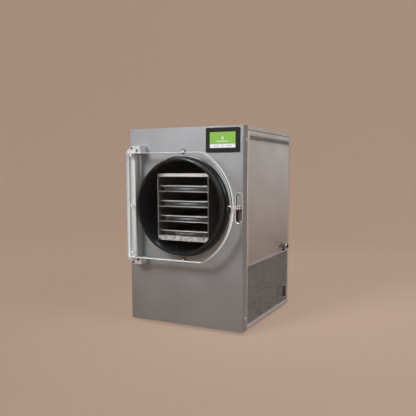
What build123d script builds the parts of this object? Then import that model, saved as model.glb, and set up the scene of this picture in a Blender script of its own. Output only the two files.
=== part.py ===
from build123d import *
from build123d.topology import SkipClean
import math
import os

# Freeze dryer: a sheet-metal cabinet around a round vacuum chamber with a clear hinged door.
# All sizes are in millimetres. While the pieces are drawn, x = 0 is the middle of the cabinet,
# y = 0 is the face of the front panel with +Y into the cabinet, and z = 0 is the cabinet's lower
# edge. They are moved to the row frame when they are written: the origin is then on the floor,
# under the middle of the whole machine.

# Cabinet
cabinet_width = 457.0
cabinet_height = 706.0
cabinet_depth = 490.0
sheet = 1.5
panel_return = 34.0
panel_corner = 4.0
seam = 0.8
lid_gap = 2.0
flange = 15.0
lid_flange = 12.7
pan_wall = 20.0
slip = 0.2
foot_height = 12.0
foot_radius = 16.0
foot_inset = 58.0

# Side vents: rows of short slots, each row shifted by half a pitch
slot_length = 17.0
slot_height = 3.6
slot_pitch = 26.0
slot_row = 6.0
lower_vent = (42.0, 476.0, 17.5, 228.0)
upper_vent = (51.0, 472.0, 664.0, 679.0)
rear_vent = (4, 12, 60.0, 4.0, 14.0)

# Chamber and its gasket
chamber_z = 430.5
chamber_radius = 160.0
chamber_wall = 2.5
chamber_front = -36.0
chamber_inner_depth = 462.0
chamber_back_wall = 3.0
collar_radius = 190.0
collar_thickness = 3.0
gasket_front = -39.7
gasket_radius = 170.0
gasket_foot_radius = 179.0
gasket_foot = 9.0
gasket_edge = 5.0
soft_gap = 0.3
coil_tube_radius = 4.0
coil_pitch = 34.0
coil_turns = 9
coil_start = 40.0
sensor_y = 375.0
insulation = 25.0

# Door
door_back = -40.0
door_thickness = 22.0
door_radius = 212.0
door_left = -200.0
door_half_height = 187.75
notch_height = 12.0
notch_z = 427.0
notch_depth = 9.0
hinge_x = -190.0
hinge_y = -33.0
rail_left = -200.0
rail_right = -174.0
rail_thickness = 14.0
pin_radius = 4.0
running_gap = 0.05
pin_collar = 3.5
collar_height = 0.8
axial_gap = 0.1
block_height = 24.0
block_front = -44.0
block_left = -212.0
block_right = -153.0
block_corner = (23.0, 20.0)
base_thickness = 12.0
base_right = -172.5
base_relief = 180.6
rail_screw_inset = (19.0, 9.0)
rail_screw_x = -181.0

# Latch: a stadium cup in the front panel with a lever in it, and a striker on the door
latch_x = 212.4
latch_z = 430.0
cup_width = 25.0
cup_height = 102.0
cup_depth = 15.0
cup_sheet = 1.2
cup_rim = 6.0
lever_pin_y = 9.0
lever_pin_z = 437.0
lever_pin_radius = 2.0
lever_width = 19.0
lever_slot = 11.0
lever_thickness = 3.0
lever_top = 478.0
striker_z = 428.8
striker_radius = 2.5
striker_bar_radius = 1.5
striker_x = 210.0
striker_bar_y = 9.6
striker_bar_length = 16.0

# Finger tab in front of the door: a thin upright disc that is pinched to pull the door open
knob_radius = 13.0
knob_thickness = 4.0
knob_x = 210.4
knob_y = -77.2
knob_foot = (205.0, -70.0, 5.0)
stud_radius = 2.0
rib_pitch = 5.5

# Touch display
bezel_size = (126.6, 82.3)
bezel_centre = (152.2, 658.7)
bezel_proud = 4.0
bezel_corner = 5.0
screen_size = (96.0, 53.0)
screen_border = 2.3
screen_thickness = 2.0
display_house = (112.0, 69.0)
display_depth = 14.0
board_thickness = 1.6

# Heated rack and its trays
rack_half_width = 102.0
rack_sheet = 2.0
rack_front = -5.0
rack_back = 457.0
rack_top = 546.0
shelf_levels = 5
shelf_pitch = 53.4
top_shelf_z = 537.0
shelf_sheet = 2.0
pad_sheet = 1.2
tray_width = 188.0
tray_taper = 8.0
tray_length = 448.0
tray_height = 20.5
tray_wall = 1.0
tray_rim = 5.0
tray_front = 3.0

# Fittings on the right side
port_y = 378.0
port_z = 258.0
port_radius = 11.0
port_bore = 7.0
port_reach = 35.0
port_nut_radius = 17.0
port_hex_radius = 14.5
port_nut_thickness = 6.0
port_inside = 24.0
hose_wall = 2.5
hose_bend = 14.0
stub_radius = 4.0
stub_x = 16.0
stub_drop = 16.0
switch_y = 439.5
switch_z = 58.5
switch_bezel = (23.0, 45.0)
switch_proud = 2.5
rocker_size = (17.0, 37.0)
rocker_tilt = 7.0
rocker_gap = 0.4
rocker_pin_radius = 1.5
switch_depth = 28.0

# Refrigeration, below the chamber
compressor_radius = 75.0
compressor_height = 165.0
compressor_x = 105.0
compressor_y = 300.0
mount_height = 20.0
condenser_x = -192.0
condenser_y = (150.0, 380.0)
condenser_z = (14.0, 214.0)
condenser_thickness = 36.0
fin_count = 24
fin_sheet = 0.8
tube_radius = 4.8
tube_runs = 7
tube_overhang = 22.0
fan_y = 265.0
fan_z = 114.0
fan_radius = 80.0
fan_blades = 5
shroud_x = -172.0
shroud_depth = 22.0
motor_radius = 30.0
motor_length = 40.0
shaft_radius = 3.0
line_radius = 3.2
line_bend = 9.0

# Screw heads
cap_head_radius = 5.0
cap_washer_radius = 9.0
cap_spread = 191.3
pan_head_radius = 4.0

# Rear connections
inlet_x = 150.0
inlet_z = 70.0
inlet_flange = (50.0, 32.0)
inlet_body = (30.0, 22.0)
inlet_proud = 2.0


# ---------------------------------------------------------------- derived places
half_width = cabinet_width / 2
shell_radius = chamber_radius + chamber_wall
insulation_inner = shell_radius + 2 * coil_tube_radius + 1.0
insulation_outer = insulation_inner + insulation - 2 * coil_tube_radius
door_front = door_back - door_thickness
door_low = chamber_z - door_half_height
door_high = chamber_z + door_half_height
side_front = panel_return + seam
pan_top = 2 * sheet
rack_bottom = chamber_z - math.sqrt((chamber_radius - soft_gap) ** 2 - rack_half_width ** 2)
shroud_end = shroud_x + shroud_depth
nozzle_end = insulation_outer + 8.0
front_reach = knob_y - knob_radius
back_reach = cabinet_depth + inlet_proud
right_reach = half_width + port_reach
middle_x = (right_reach - half_width) / 2
middle_y = (front_reach + back_reach) / 2


# ---------------------------------------------------------------- helpers
def block(x, y, z):
    """A box from three (low, high) pairs."""
    size = Box(x[1] - x[0], y[1] - y[0], z[1] - z[0])
    return Pos((x[0] + x[1]) / 2, (y[0] + y[1]) / 2, (z[0] + z[1]) / 2) * size


def rod_x(radius, x, y, z):
    """A cylinder along X from x[0] to x[1]."""
    return Pos((x[0] + x[1]) / 2, y, z) * Rot(0, 90, 0) * Cylinder(radius, x[1] - x[0])


def rod_y(radius, x, y, z):
    """A cylinder along Y from y[0] to y[1]."""
    return Pos(x, (y[0] + y[1]) / 2, z) * Rot(90, 0, 0) * Cylinder(radius, y[1] - y[0])


def rod_z(radius, x, y, z):
    """A cylinder along Z from z[0] to z[1]."""
    return Pos(x, y, (z[0] + z[1]) / 2) * Cylinder(radius, z[1] - z[0])


def slab(outline, y0, y1):
    """An outline drawn in x and z, made solid from y0 to y1."""
    return extrude(Plane.XZ.offset(-y1) * outline, amount=y1 - y0)


def upright(outline, x0, x1):
    """An outline drawn in y and z, made solid from x0 to x1."""
    return extrude(Plane.YZ.offset(x0) * outline, amount=x1 - x0)


def stadium(width, height):
    """An upright stadium outline."""
    return Rot(0, 0, 90) * SlotOverall(height, width)


def ring_y(outer, inner, y0, y1, x=0.0, z=chamber_z):
    """A ring about an axis along Y."""
    return rod_y(outer, x, (y0, y1), z) - rod_y(inner, x, (y0 - 1, y1 + 1), z)


def pipe(radius, points, bend):
    """A round tube along straight runs joined by arcs."""
    path = FilletPolyline(*points, radius=bend)
    return sweep((path ^ 0) * Circle(radius), path=path)


def group(*solids):
    """Separate solids that share one node."""
    found = []
    for shape in solids:
        found.extend(shape.solids())
    return Compound(children=found)


# ---------------------------------------------------------------- cabinet
def slot_centres(vent, keep_out=None):
    """Centres of one vent's staggered slots, without those in keep_out (y, z, half sizes)."""
    y0, y1, z0, z1 = vent
    rows = int((z1 - z0 - slot_height) // slot_row) + 1
    centres = []
    for row in range(rows):
        z = z0 + slot_height / 2 + row * slot_row
        shift = slot_pitch / 2 * (row % 2)
        count = int((y1 - y0 - slot_length - shift) // slot_pitch) + 1
        for column in range(count):
            y = y0 + slot_length / 2 + shift + column * slot_pitch
            near = keep_out and abs(y - keep_out[0]) < keep_out[2] and abs(z - keep_out[1]) < keep_out[3]
            if not near:
                centres.append((y, z))
    return centres


def side_panel(keep_out=None, cuts=()):
    """The right side panel: a vented sheet with flanges turned inwards; x is outwards."""
    y0, y1 = side_front, cabinet_depth
    z1 = cabinet_height - lid_flange - lid_gap
    outer = Pos((y0 + y1) / 2, z1 / 2) * Rectangle(y1 - y0, z1)
    slot = SlotOverall(slot_length, slot_height).face().outer_wire()
    centres = slot_centres(lower_vent, keep_out) + slot_centres(upper_vent)
    holes = [slot.moved(Location((y, z, 0))) for y, z in centres]
    for centre, outline in cuts:
        holes.append(outline.face().outer_wire().moved(Location((centre[0], centre[1], 0))))
    face = Face(outer.face().outer_wire(), holes)
    skin = Solid.extrude(face.moved(Plane.YZ.offset(half_width - sheet).location), Vector(sheet, 0, 0))
    inner = (half_width - flange, half_width - sheet)
    lower = block(inner, (y0, y1), (0, sheet))
    front = block(inner, (y0, y0 + sheet), (sheet, z1))
    with SkipClean():
        return skin + (lower + front)


def cabinet():
    parts = {}
    full = (-half_width, half_width)
    inside = (-half_width + sheet, half_width - sheet)
    outer = block(full, (0, panel_return), (0, cabinet_height))
    outer = fillet(outer.edges().filter_by(Axis.Z).group_by(Axis.Y)[0], panel_corner)
    hollow = block(inside, (sheet, panel_return + 1), (sheet, cabinet_height - sheet))
    hollow = fillet(hollow.edges().filter_by(Axis.Z).group_by(Axis.Y)[0], panel_corner - sheet)
    panel = outer - hollow
    through = (-1.0, sheet + 1.0)
    panel -= rod_y(shell_radius + 1.0, 0, through, chamber_z)
    panel -= slab(Pos(*bezel_centre) * Rectangle(display_house[0] + slip, display_house[1] + slip), *through)
    panel -= slab(Pos(latch_x, latch_z) * stadium(cup_width, cup_height), *through)
    for side in (-1, 1):
        panel -= rod_y(3.2, 0, through, chamber_z + side * cap_spread)
    long_screws = [(x, z) for x, z, tip in block_screw_places() if tip > 0]
    for x, z in long_screws + [(rail_left, z) for z in base_screw_heights()]:
        panel -= rod_y(2.6, x, through, z)
    parts["front_panel"] = panel

    hole_port = ((port_y, port_z), Circle(port_radius + slip))
    hole_switch = ((switch_y, switch_z), Rectangle(*switch_house()))
    clear = (switch_y, switch_z, switch_bezel[0] / 2 + slot_length / 2 + 2, switch_bezel[1] / 2 + 4)
    parts["side_panel_right"] = side_panel(clear, (hole_port, hole_switch))
    parts["side_panel_left"] = mirror(side_panel(), about=Plane.YZ)

    lid = block(full, (side_front, cabinet_depth), (cabinet_height - lid_flange, cabinet_height))
    lid -= block(inside, (side_front - 1, cabinet_depth - sheet),
                 (cabinet_height - lid_flange - 1, cabinet_height - sheet))
    parts["top_cover"] = lid

    rear_half = half_width - sheet - slip
    rear_low = sheet + slip
    rear_high = cabinet_height - lid_flange - seam
    rear = block((-rear_half, rear_half), (cabinet_depth - sheet, cabinet_depth), (rear_low, rear_high))
    columns, rows, long, tall, pitch = rear_vent
    vent = GridLocations(long + 12.0, pitch, columns, rows)
    slots = Sketch() + [place * SlotOverall(long, tall) for place in vent]
    rear -= slab(Pos(-60.0, 120.0) * slots, cabinet_depth - 3, cabinet_depth + 1)
    rear -= slab(Pos(inlet_x, inlet_z) * Rectangle(inlet_body[0] + slip, inlet_body[1] + slip),
                 cabinet_depth - 3, cabinet_depth + 1)
    parts["rear_panel"] = rear

    pan_y = (side_front + sheet + slip, cabinet_depth - sheet - slip)
    pan = block((-rear_half, rear_half), pan_y, (sheet, pan_wall))
    pan -= block((-rear_half + sheet, rear_half - sheet), (pan_y[0] + sheet, pan_y[1] - sheet),
                 (pan_top, pan_wall + 1))
    parts["base_pan"] = pan

    feet = []
    for x in (-1, 1):
        for y in (foot_inset, cabinet_depth - foot_inset):
            foot = rod_z(foot_radius, x * (half_width - foot_inset), y, (-foot_height, sheet))
            low = foot.faces().sort_by(Axis.Z)[0]
            feet.append(chamfer(low.edges(), 2.0))
    parts["feet"] = group(*feet)

    heads = []
    for side in (-1, 1):
        for z in (47.0, 659.0):
            x = (half_width, half_width + 2.2)
            head = rod_x(pan_head_radius, x if side > 0 else (-x[1], -x[0]), 22.7, z)
            top = head.faces().sort_by(Axis.X)[-1 if side > 0 else 0]
            heads.append(fillet(top.edges(), 1.4))
    for side in (-1, 1):
        z = chamber_z + side * cap_spread
        cap = rod_y(cap_washer_radius, 0, (-1.6, 0), z) + rod_y(cap_head_radius, 0, (-5.0, -1.6), z)
        cap += rod_y(3.0, 0, (0, sheet + collar_thickness + 3.0), z)
        cap -= slab(Pos(0, z) * RegularPolygon(2.4, 6), -6.0, -2.4)
        heads.append(cap)
    parts["cabinet_screws"] = group(*heads)
    return parts


# ---------------------------------------------------------------- display
def display():
    parts = {}
    cx, cz = bezel_centre
    bezel = slab(Pos(cx, cz) * RectangleRounded(*bezel_size, bezel_corner), -bezel_proud, 0)
    bezel = chamfer(bezel.faces().sort_by(Axis.Y)[0].edges(), 1.2)
    bezel += slab(Pos(cx, cz) * Rectangle(*display_house), 0, display_depth)
    pocket = [size + 2 * screen_border for size in screen_size]
    pocket_front = -bezel_proud + 1.5
    bezel -= slab(Pos(cx, cz) * Rectangle(*pocket), pocket_front, display_depth + 1)
    bezel -= slab(Pos(cx, cz) * Rectangle(*screen_size), -bezel_proud - 1, pocket_front + 1)
    parts["display_bezel"] = bezel
    screen_back = pocket_front + screen_thickness
    parts["display_screen"] = slab(Pos(cx, cz) * Rectangle(*pocket), pocket_front, screen_back)
    board = slab(Pos(cx, cz) * Rectangle(pocket[0] - slip, pocket[1] - slip),
                 screen_back + 6.0, screen_back + 6.0 + board_thickness)
    for x in (-1, 1):
        for z in (-1, 1):
            board += rod_y(3.0, cx + x * 42.0, (screen_back, screen_back + 6.0), cz + z * 22.0)
    board += slab(Pos(cx + 8, cz) * Rectangle(22.0, 22.0), screen_back + 7.6, screen_back + 10.0)
    board += slab(Pos(cx - 30, cz - 12) * Rectangle(16.0, 9.0), screen_back + 7.6, screen_back + 13.0)
    parts["display_board"] = board
    return parts


# ---------------------------------------------------------------- door, hinge and latch
def door_outline():
    """The door: straight top, left and bottom edges, and a right edge that is an arc."""
    reach = math.sqrt(door_radius ** 2 - door_half_height ** 2)
    low, high = -door_half_height, door_half_height
    edges = [
        Line((reach, high), (door_left, high)),
        Line((door_left, high), (door_left, low)),
        Line((door_left, low), (reach, low)),
        ThreePointArc((reach, low), (door_radius, 0), (reach, high)),
    ]
    return make_face(edges)


def block_screw_places():
    """Screws of the two hinge blocks, as (x, z, y of the tip): a set screw in front of the pin,
    and a long one through the block and the front panel."""
    places = []
    for side, z in zip((-1, 1), hinge_block_middles()):
        places.append((hinge_x + 2.5, z + side * 5.0, block_front + 5.0))
        places.append((hinge_x + 24.0, z - side * 4.5, 8.0))
    return places


def base_screw_heights():
    return (door_low + 20.0, chamber_z, door_high - 20.0)


def hinge_block_middles():
    lift = 2 * axial_gap + collar_height + block_height / 2
    return (door_low - lift, door_high + lift)


def hinge_block(z, side):
    """A block on the front panel that holds one end of the door's hinge axis. Its outer left
    corner is cut off; side is 1 for the upper block and -1 for the lower one."""
    far, near = z + side * block_height / 2, z - side * block_height / 2
    cut_x, cut_z = block_left + block_corner[0], far - side * block_corner[1]
    points = [(block_left, near), (block_left, cut_z), (cut_x, far), (block_right, far), (block_right, near)]
    body = slab(make_face(Polyline(*points, close=True)), block_front, 0)
    body = chamfer(body.edges().filter_by(Axis.Z).group_by(Axis.Y)[0], 1.5)
    body -= rod_z(pin_radius + running_gap, hinge_x, hinge_y, (z - block_height, z + block_height))
    for x, screw_z, tip in block_screw_places():
        if abs(screw_z - z) < block_height / 2:
            body -= rod_y(2.6, x, (block_front - 1, min(tip, 1.0)), screw_z)
    return body


def hinge():
    parts = {}
    low, high = hinge_block_middles()
    parts["hinge_block_lower"] = hinge_block(low, -1)
    parts["hinge_block_upper"] = hinge_block(high, 1)

    half = block_height / 2
    base = block((block_left, base_right), (-base_thickness, 0), (low + half, high - half))
    base -= rod_y(base_relief, 0, (-base_thickness - 1, 1), chamber_z)
    for z in base_screw_heights():
        base -= rod_y(2.6, rail_left, (-base_thickness - 1, 1), z)
        base -= rod_y(5.0, rail_left, (-base_thickness - 1, 4.0 - base_thickness), z)
    parts["hinge_base"] = base

    rail = block((rail_left, rail_right), (door_back, door_back + rail_thickness), (door_low, door_high))
    rail = fillet(rail.edges().filter_by(Axis.Z).group_by(Axis.Y)[-1], 3.0)
    pin_grip = 40.0
    pins = []
    for side, end, far in ((-1, door_low, low - half), (1, door_high, high + half)):
        span = sorted((end - side * pin_grip, far))
        pin = rod_z(pin_radius, hinge_x, hinge_y, span)
        rail -= rod_z(pin_radius, hinge_x, hinge_y, sorted((end - side * pin_grip, end + side)))
        seat = sorted((end + side * axial_gap, end + side * (axial_gap + collar_height)))
        pins.append(pin + rod_z(pin_radius + pin_collar, hinge_x, hinge_y, seat))
    screws = []
    for z in rail_screw_heights():
        rail -= rod_y(2.5, rail_screw_x, (door_back - 1, door_back + 10.0), z)
        screws.append(rail_screw(z))
    parts["hinge_rail"] = rail
    parts["hinge_pins"] = group(*pins)
    parts["rail_screws"] = group(*screws)

    heads = []
    for x, z, tip in block_screw_places():
        head = rod_y(4.6, x, (block_front - 3.2, block_front), z)
        head = fillet(head.faces().sort_by(Axis.Y)[0].edges(), 1.6)
        heads.append(head + rod_y(2.5, x, (block_front, tip), z))
    for z in base_screw_heights():
        heads.append(rod_y(4.8, rail_left, (0.5 - base_thickness, 4.0 - base_thickness), z)
                     + rod_y(2.5, rail_left, (4.0 - base_thickness, 8.0), z))
    parts["hinge_block_screws"] = group(*heads)
    return parts


def rail_screw_heights():
    return (door_low + rail_screw_inset[0], chamber_z, door_high - rail_screw_inset[1])


def rail_screw(z):
    """A button-head screw through the door into the hinge rail."""
    head = rod_y(4.5, rail_screw_x, (door_front - 2.4, door_front), z)
    head = fillet(head.faces().sort_by(Axis.Y)[0].edges(), 1.5)
    return head + rod_y(2.4, rail_screw_x, (door_front, door_back + 9.0), z)


def door():
    parts = {}
    plate = slab(Pos(0, chamber_z) * door_outline(), door_front, door_back)
    corners = plate.edges().filter_by(Axis.Y).sort_by(Axis.X)[:2]
    plate = fillet(corners, 3.0)
    notch_left = door_radius - notch_depth
    notch_span = (notch_z - notch_height / 2, notch_z + notch_height / 2)
    plate -= block((notch_left, door_radius + 5), (door_front - 1, door_back + 1), notch_span)
    for z in rail_screw_heights():
        plate -= rod_y(2.6, rail_screw_x, (door_front - 1, door_back + 1), z)
    parts["door_plate"] = plate

    plate_sheet = 2.0
    grip_left = 201.0
    grip_right = door_radius + 1.0
    web_z = (notch_span[0] + slip, notch_span[1] - slip)
    web_y = (door_front - plate_sheet, door_back + plate_sheet)
    grip_z = (notch_z - 9.0, notch_z + 15.0)
    catch = block((notch_left + slip, grip_right), web_y, web_z)
    catch += block((grip_left, grip_right), (web_y[0], door_front), grip_z)
    catch += block((grip_left, grip_right), (door_back, web_y[1]), grip_z)
    stud = (web_y[0], door_front + 6.0)
    catch -= rod_y(stud_radius, knob_x, stud, notch_z)
    catch -= rod_y(striker_radius, striker_x, (door_back - 8.0, door_back + 5.0), striker_z)
    parts["door_catch"] = catch

    rod = rod_y(striker_radius, striker_x, (door_back - 8.0, striker_bar_y), striker_z)
    half_bar = striker_bar_length / 2
    rod += rod_x(striker_bar_radius, (latch_x - half_bar, latch_x + half_bar), striker_bar_y, striker_z)
    parts["door_striker"] = rod

    tab_x = (knob_x - knob_thickness / 2, knob_x + knob_thickness / 2)
    tab = rod_x(knob_radius, tab_x, knob_y, notch_z)
    tab = fillet(tab.edges().filter_by(GeomType.CIRCLE), 1.2)
    for shift in (-rib_pitch, 0.0, rib_pitch):
        groove = (knob_y + shift - 0.8, knob_y + shift + 0.8)
        tall = (notch_z - 8.5, notch_z + 8.5)
        tab -= block((tab_x[0] - 1, tab_x[0] + 0.6), groove, tall)
        tab -= block((tab_x[1] - 0.6, tab_x[1] + 1), groove, tall)
    foot_left, foot_front, foot_half = knob_foot
    tab += block((foot_left, tab_x[1]), (foot_front, web_y[0]), (notch_z - foot_half, notch_z + foot_half))
    tab += rod_y(stud_radius, knob_x, stud, notch_z)
    parts["door_knob"] = tab
    return parts


def latch():
    parts = {}
    place = Pos(latch_x, latch_z)
    width = cup_width - 2 * slip
    height = cup_height - 2 * slip
    inner = place * stadium(width - 2 * cup_sheet, height - 2 * cup_sheet)
    cup = slab(place * stadium(width, height), 0, cup_depth)
    rim = slab(place * stadium(width + 2 * cup_rim, height + 2 * cup_rim), sheet, sheet + cup_sheet)
    cup += rim - block((half_width - panel_corner, half_width + cup_rim), (0, cup_depth), (0, cabinet_height))
    cup -= slab(inner, -1, cup_depth - cup_sheet)
    wall = width / 2 - cup_sheet
    pin_span = (latch_x - wall, latch_x + wall)
    parts["latch_cup"] = cup
    parts["latch_pin"] = rod_x(lever_pin_radius, pin_span, lever_pin_y, lever_pin_z)

    half = lever_width / 2
    front = lever_pin_y - 6.5
    plate_z = (lever_pin_z, lever_top - half)
    plate = block((latch_x - half, latch_x + half), (front, front + lever_thickness), plate_z)
    plate += rod_y(half, latch_x, (front, front + lever_thickness), lever_top - half)
    boss = rod_x(3.6, (latch_x - half, latch_x + half), lever_pin_y, lever_pin_z)
    web = block((latch_x - half, latch_x + half), (front, lever_pin_y),
                (lever_pin_z - 1.0, lever_pin_z + 3.0))
    tooth = block((latch_x - half, latch_x + half), (front, front + lever_thickness),
                  (striker_z + striker_bar_radius + 0.8, lever_pin_z))
    lever = plate + boss + web + tooth
    lever -= block((latch_x - lever_slot / 2, latch_x + lever_slot / 2), (front - 1, lever_pin_y + 5),
                   (striker_z, lever_pin_z + 4.5))
    lever -= rod_x(lever_pin_radius + running_gap, (latch_x - half - 1, latch_x + half + 1),
                   lever_pin_y, lever_pin_z)
    parts["latch_lever"] = lever
    return parts


# ---------------------------------------------------------------- chamber
def gasket_profile():
    """Half section of the gasket: radius against y, wrapped around the chamber's front rim."""
    seat = shell_radius + 0.3
    points = [
        (chamber_radius + 0.5, chamber_front - soft_gap),
        (chamber_radius + 0.5, gasket_front + 1.2),
        (chamber_radius + 1.7, gasket_front),
        (gasket_radius - gasket_edge, gasket_front),
    ]
    front = Polyline(*points)
    edge = CenterArc((gasket_radius - gasket_edge, gasket_front + gasket_edge), gasket_edge, -90, 90)
    side = Line((gasket_radius, gasket_front + gasket_edge), (gasket_radius, -gasket_foot))
    flare = ThreePointArc((gasket_radius, -gasket_foot),
                          (gasket_radius + 2.6, -2.6),
                          (gasket_foot_radius, 0))
    back = Polyline((gasket_foot_radius, 0), (seat, 0), (seat, chamber_front - soft_gap),
                    (chamber_radius + 0.5, chamber_front - soft_gap))
    return make_face([front, edge, side, flare, back])


def chamber():
    parts = {}
    lathe = Axis((0, 0, 0), (0, 1, 0))
    parts["door_gasket"] = Pos(0, 0, chamber_z) * revolve(gasket_profile(), axis=lathe)

    back = chamber_inner_depth + chamber_back_wall
    shell = rod_y(shell_radius, 0, (chamber_front, back), chamber_z)
    shell -= rod_y(chamber_radius, 0, (chamber_front - 1, chamber_inner_depth), chamber_z)
    shell += ring_y(collar_radius, shell_radius - 1, sheet, sheet + collar_thickness)
    nozzle_dir = Rot(0, nozzle_turn(), 0)
    nozzle = Pos(0, port_y, chamber_z) * nozzle_dir * rod_x(port_radius, (chamber_radius - 3, nozzle_end), 0, 0)
    bore = Pos(0, port_y, chamber_z) * nozzle_dir * rod_x(port_bore, (chamber_radius - 10, nozzle_end + 5), 0, 0)
    sensor_port = rod_z(9.0, 0, sensor_y, (chamber_z + chamber_radius - 1, chamber_z + 195.0))
    sensor_bore = rod_z(6.0, 0, sensor_y, (chamber_z + chamber_radius - 10, chamber_z + 200.0))
    shell += nozzle + sensor_port
    inner = rod_y(chamber_radius, 0, (chamber_front - 1, chamber_inner_depth), chamber_z)
    shell = shell - inner - bore - sensor_bore
    for side in (-1, 1):
        shell -= rod_y(3.2, 0, (sheet - 1, sheet + 5), chamber_z + side * cap_spread)
    parts["chamber_shell"] = shell

    foam_y = (sheet + collar_thickness + 4.0, back + 18.0)
    foam = rod_y(insulation_outer, 0, foam_y, chamber_z)
    foam -= rod_y(insulation_inner, 0, (foam_y[0] - 1, back + 0.2), chamber_z)
    foam -= Pos(0, port_y, chamber_z) * nozzle_dir * rod_x(port_radius + slip, (150.0, 200.0), 0, 0)
    foam -= rod_z(9.3, 0, sensor_y, (chamber_z + 150.0, chamber_z + 200.0))
    parts["chamber_insulation"] = foam

    turn_radius = shell_radius + coil_tube_radius + soft_gap
    path = Helix(coil_pitch, coil_pitch * coil_turns, turn_radius,
                 center=(0, coil_start, chamber_z), direction=(0, 1, 0))
    parts["evaporator_coil"] = sweep((path ^ 0) * Circle(coil_tube_radius), path=path, is_frenet=True)

    cradles = []
    for y in (70.0, 425.0):
        plate = block((-150, 150), (y, y + 2.0), (pan_top, chamber_z - 95.0))
        plate += block((-150, 150), (y, y + flange), (pan_top, pan_top + 2.0))
        cradles.append(plate - rod_y(insulation_outer + soft_gap, 0, (y - 1, y + 20), chamber_z))
    window = block((-60, 60), (0, cabinet_depth), (60.0, 200.0))
    parts["chamber_cradles"] = group(*[plate - window for plate in cradles])

    sensor = rod_z(14.0, 0, sensor_y, (chamber_z + 195.0, chamber_z + 225.0))
    sensor += rod_z(5.9, 0, sensor_y, (chamber_z + 180.0, chamber_z + 196.0))
    sensor += rod_z(7.0, 0, sensor_y, (chamber_z + 225.0, chamber_z + 235.0))
    parts["vacuum_sensor"] = sensor
    return parts


def nozzle_turn():
    """Turn about Y that points the vacuum nozzle at the side port, below the horizontal."""
    return 50.0


# ---------------------------------------------------------------- rack and trays
def shelf_z(level):
    """Top face of a shelf; level 1 is the lowest."""
    return top_shelf_z - (shelf_levels - level) * shelf_pitch


def rack():
    parts = {}
    sides = []
    for side in (-1, 1):
        x = sorted((side * rack_half_width, side * (rack_half_width - rack_sheet)))
        plate = block(x, (rack_front, rack_back), (rack_bottom, rack_top))
        sides.append(plate)
    parts["rack_sides"] = group(*sides)

    inner = rack_half_width - rack_sheet
    pads = []
    for level in range(1, shelf_levels + 1):
        top = shelf_z(level)
        shelf = block((-inner, inner), (rack_front, rack_back), (top - shelf_sheet, top))
        if level == 1:
            lip_z = (rack_bottom, top)
            lip = block((-inner, inner), (rack_front, rack_front + shelf_sheet), lip_z)
            low_edges = lip.edges().filter_by(Axis.Y).group_by(Axis.Z)[0]
            shelf += chamfer(low_edges, 10.0)
        elif level == shelf_levels:
            shelf += block((-inner, inner), (rack_front, rack_front + shelf_sheet), (top, rack_top))
        parts["shelf_%d" % level] = shelf
        pad_top = top - shelf_sheet
        pads.append(block((-85, 85), (30, rack_back - 25), (pad_top - pad_sheet, pad_top)))
    parts["heater_pads"] = group(*pads)
    return parts


def tray(level):
    """A folded tray with sloping walls and a turned-out rim, standing on a shelf."""
    floor_z = shelf_z(level)
    middle_y = tray_front + tray_length / 2
    slope = math.degrees(math.atan(tray_taper / tray_height))
    foot = RectangleRounded(tray_width - 2 * tray_rim - 2 * tray_taper,
                            tray_length - 2 * tray_rim - 2 * tray_taper, 6.0)
    shape = extrude(Plane((0, middle_y, floor_z)) * foot, amount=tray_height, taper=-slope)
    rim = RectangleRounded(tray_width, tray_length, 9.0)
    shape += extrude(Plane((0, middle_y, floor_z + tray_height - tray_wall)) * rim, amount=tray_wall)
    hollow = RectangleRounded(tray_width - 2 * tray_rim - 2 * tray_taper - 2 * tray_wall,
                              tray_length - 2 * tray_rim - 2 * tray_taper - 2 * tray_wall, 5.0)
    shape -= extrude(Plane((0, middle_y, floor_z + tray_wall)) * hollow,
                     amount=tray_height, taper=-slope)
    return shape


def trays():
    return {"tray_%d" % level: tray(level) for level in range(1, shelf_levels)}


# ---------------------------------------------------------------- side fittings
def side_fittings():
    parts = {}
    wall = half_width
    end = wall + port_reach
    body = rod_x(port_radius, (wall - port_inside, end - 8.0), port_y, port_z)
    body += upright(Pos(port_y, port_z) * RegularPolygon(port_hex_radius, 6), wall, wall + 5.0)
    body += rod_z(stub_radius, wall + stub_x, port_y, (port_z - stub_drop, port_z))
    body -= rod_x(port_bore, (wall - port_inside - 1, end), port_y, port_z)
    parts["vacuum_port"] = body
    ring = rod_x(port_radius + 1.5, (end - 8.0, end), port_y, port_z)
    ring = fillet(ring.edges().filter_by(GeomType.CIRCLE), 1.0)
    parts["vacuum_port_ring"] = ring - rod_x(port_bore, (end - 9.0, end + 1.0), port_y, port_z)
    cap_z = (port_z - stub_drop - 3.0, port_z - stub_drop + 3.0)
    cap = rod_z(stub_radius + 0.9, wall + stub_x, port_y, cap_z)
    cap -= rod_z(stub_radius + 0.05, wall + stub_x, port_y, (port_z - stub_drop, port_z))
    nut_x = (wall - sheet - port_nut_thickness, wall - sheet)
    nut = upright(Pos(port_y, port_z) * RegularPolygon(port_nut_radius, 6), *nut_x)
    nut -= rod_x(port_radius + 0.1, (nut_x[0] - 1, nut_x[1] + 1), port_y, port_z)
    parts["vacuum_port_nut"] = nut
    parts["drain_cap"] = cap

    turn = math.radians(nozzle_turn())
    reach = (insulation_outer + 1.0, insulation_outer + 26.0)
    points = [(r * math.cos(turn), port_y, chamber_z - r * math.sin(turn)) for r in reach]
    inner_end = wall - port_inside + 10.0
    points += [(inner_end - 40.0, port_y, port_z), (inner_end, port_y, port_z)]
    hose_bore = port_radius + 0.1
    parts["vacuum_hose"] = pipe(hose_bore + hose_wall, points, hose_bend) - pipe(hose_bore, points, hose_bend)
    return parts


def switch_house():
    """Outer size of the switch body where it passes through the side panel."""
    return (rocker_size[0] + 2 * rocker_gap + 2.2, rocker_size[1] + 2 * rocker_gap + 3.0)


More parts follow.
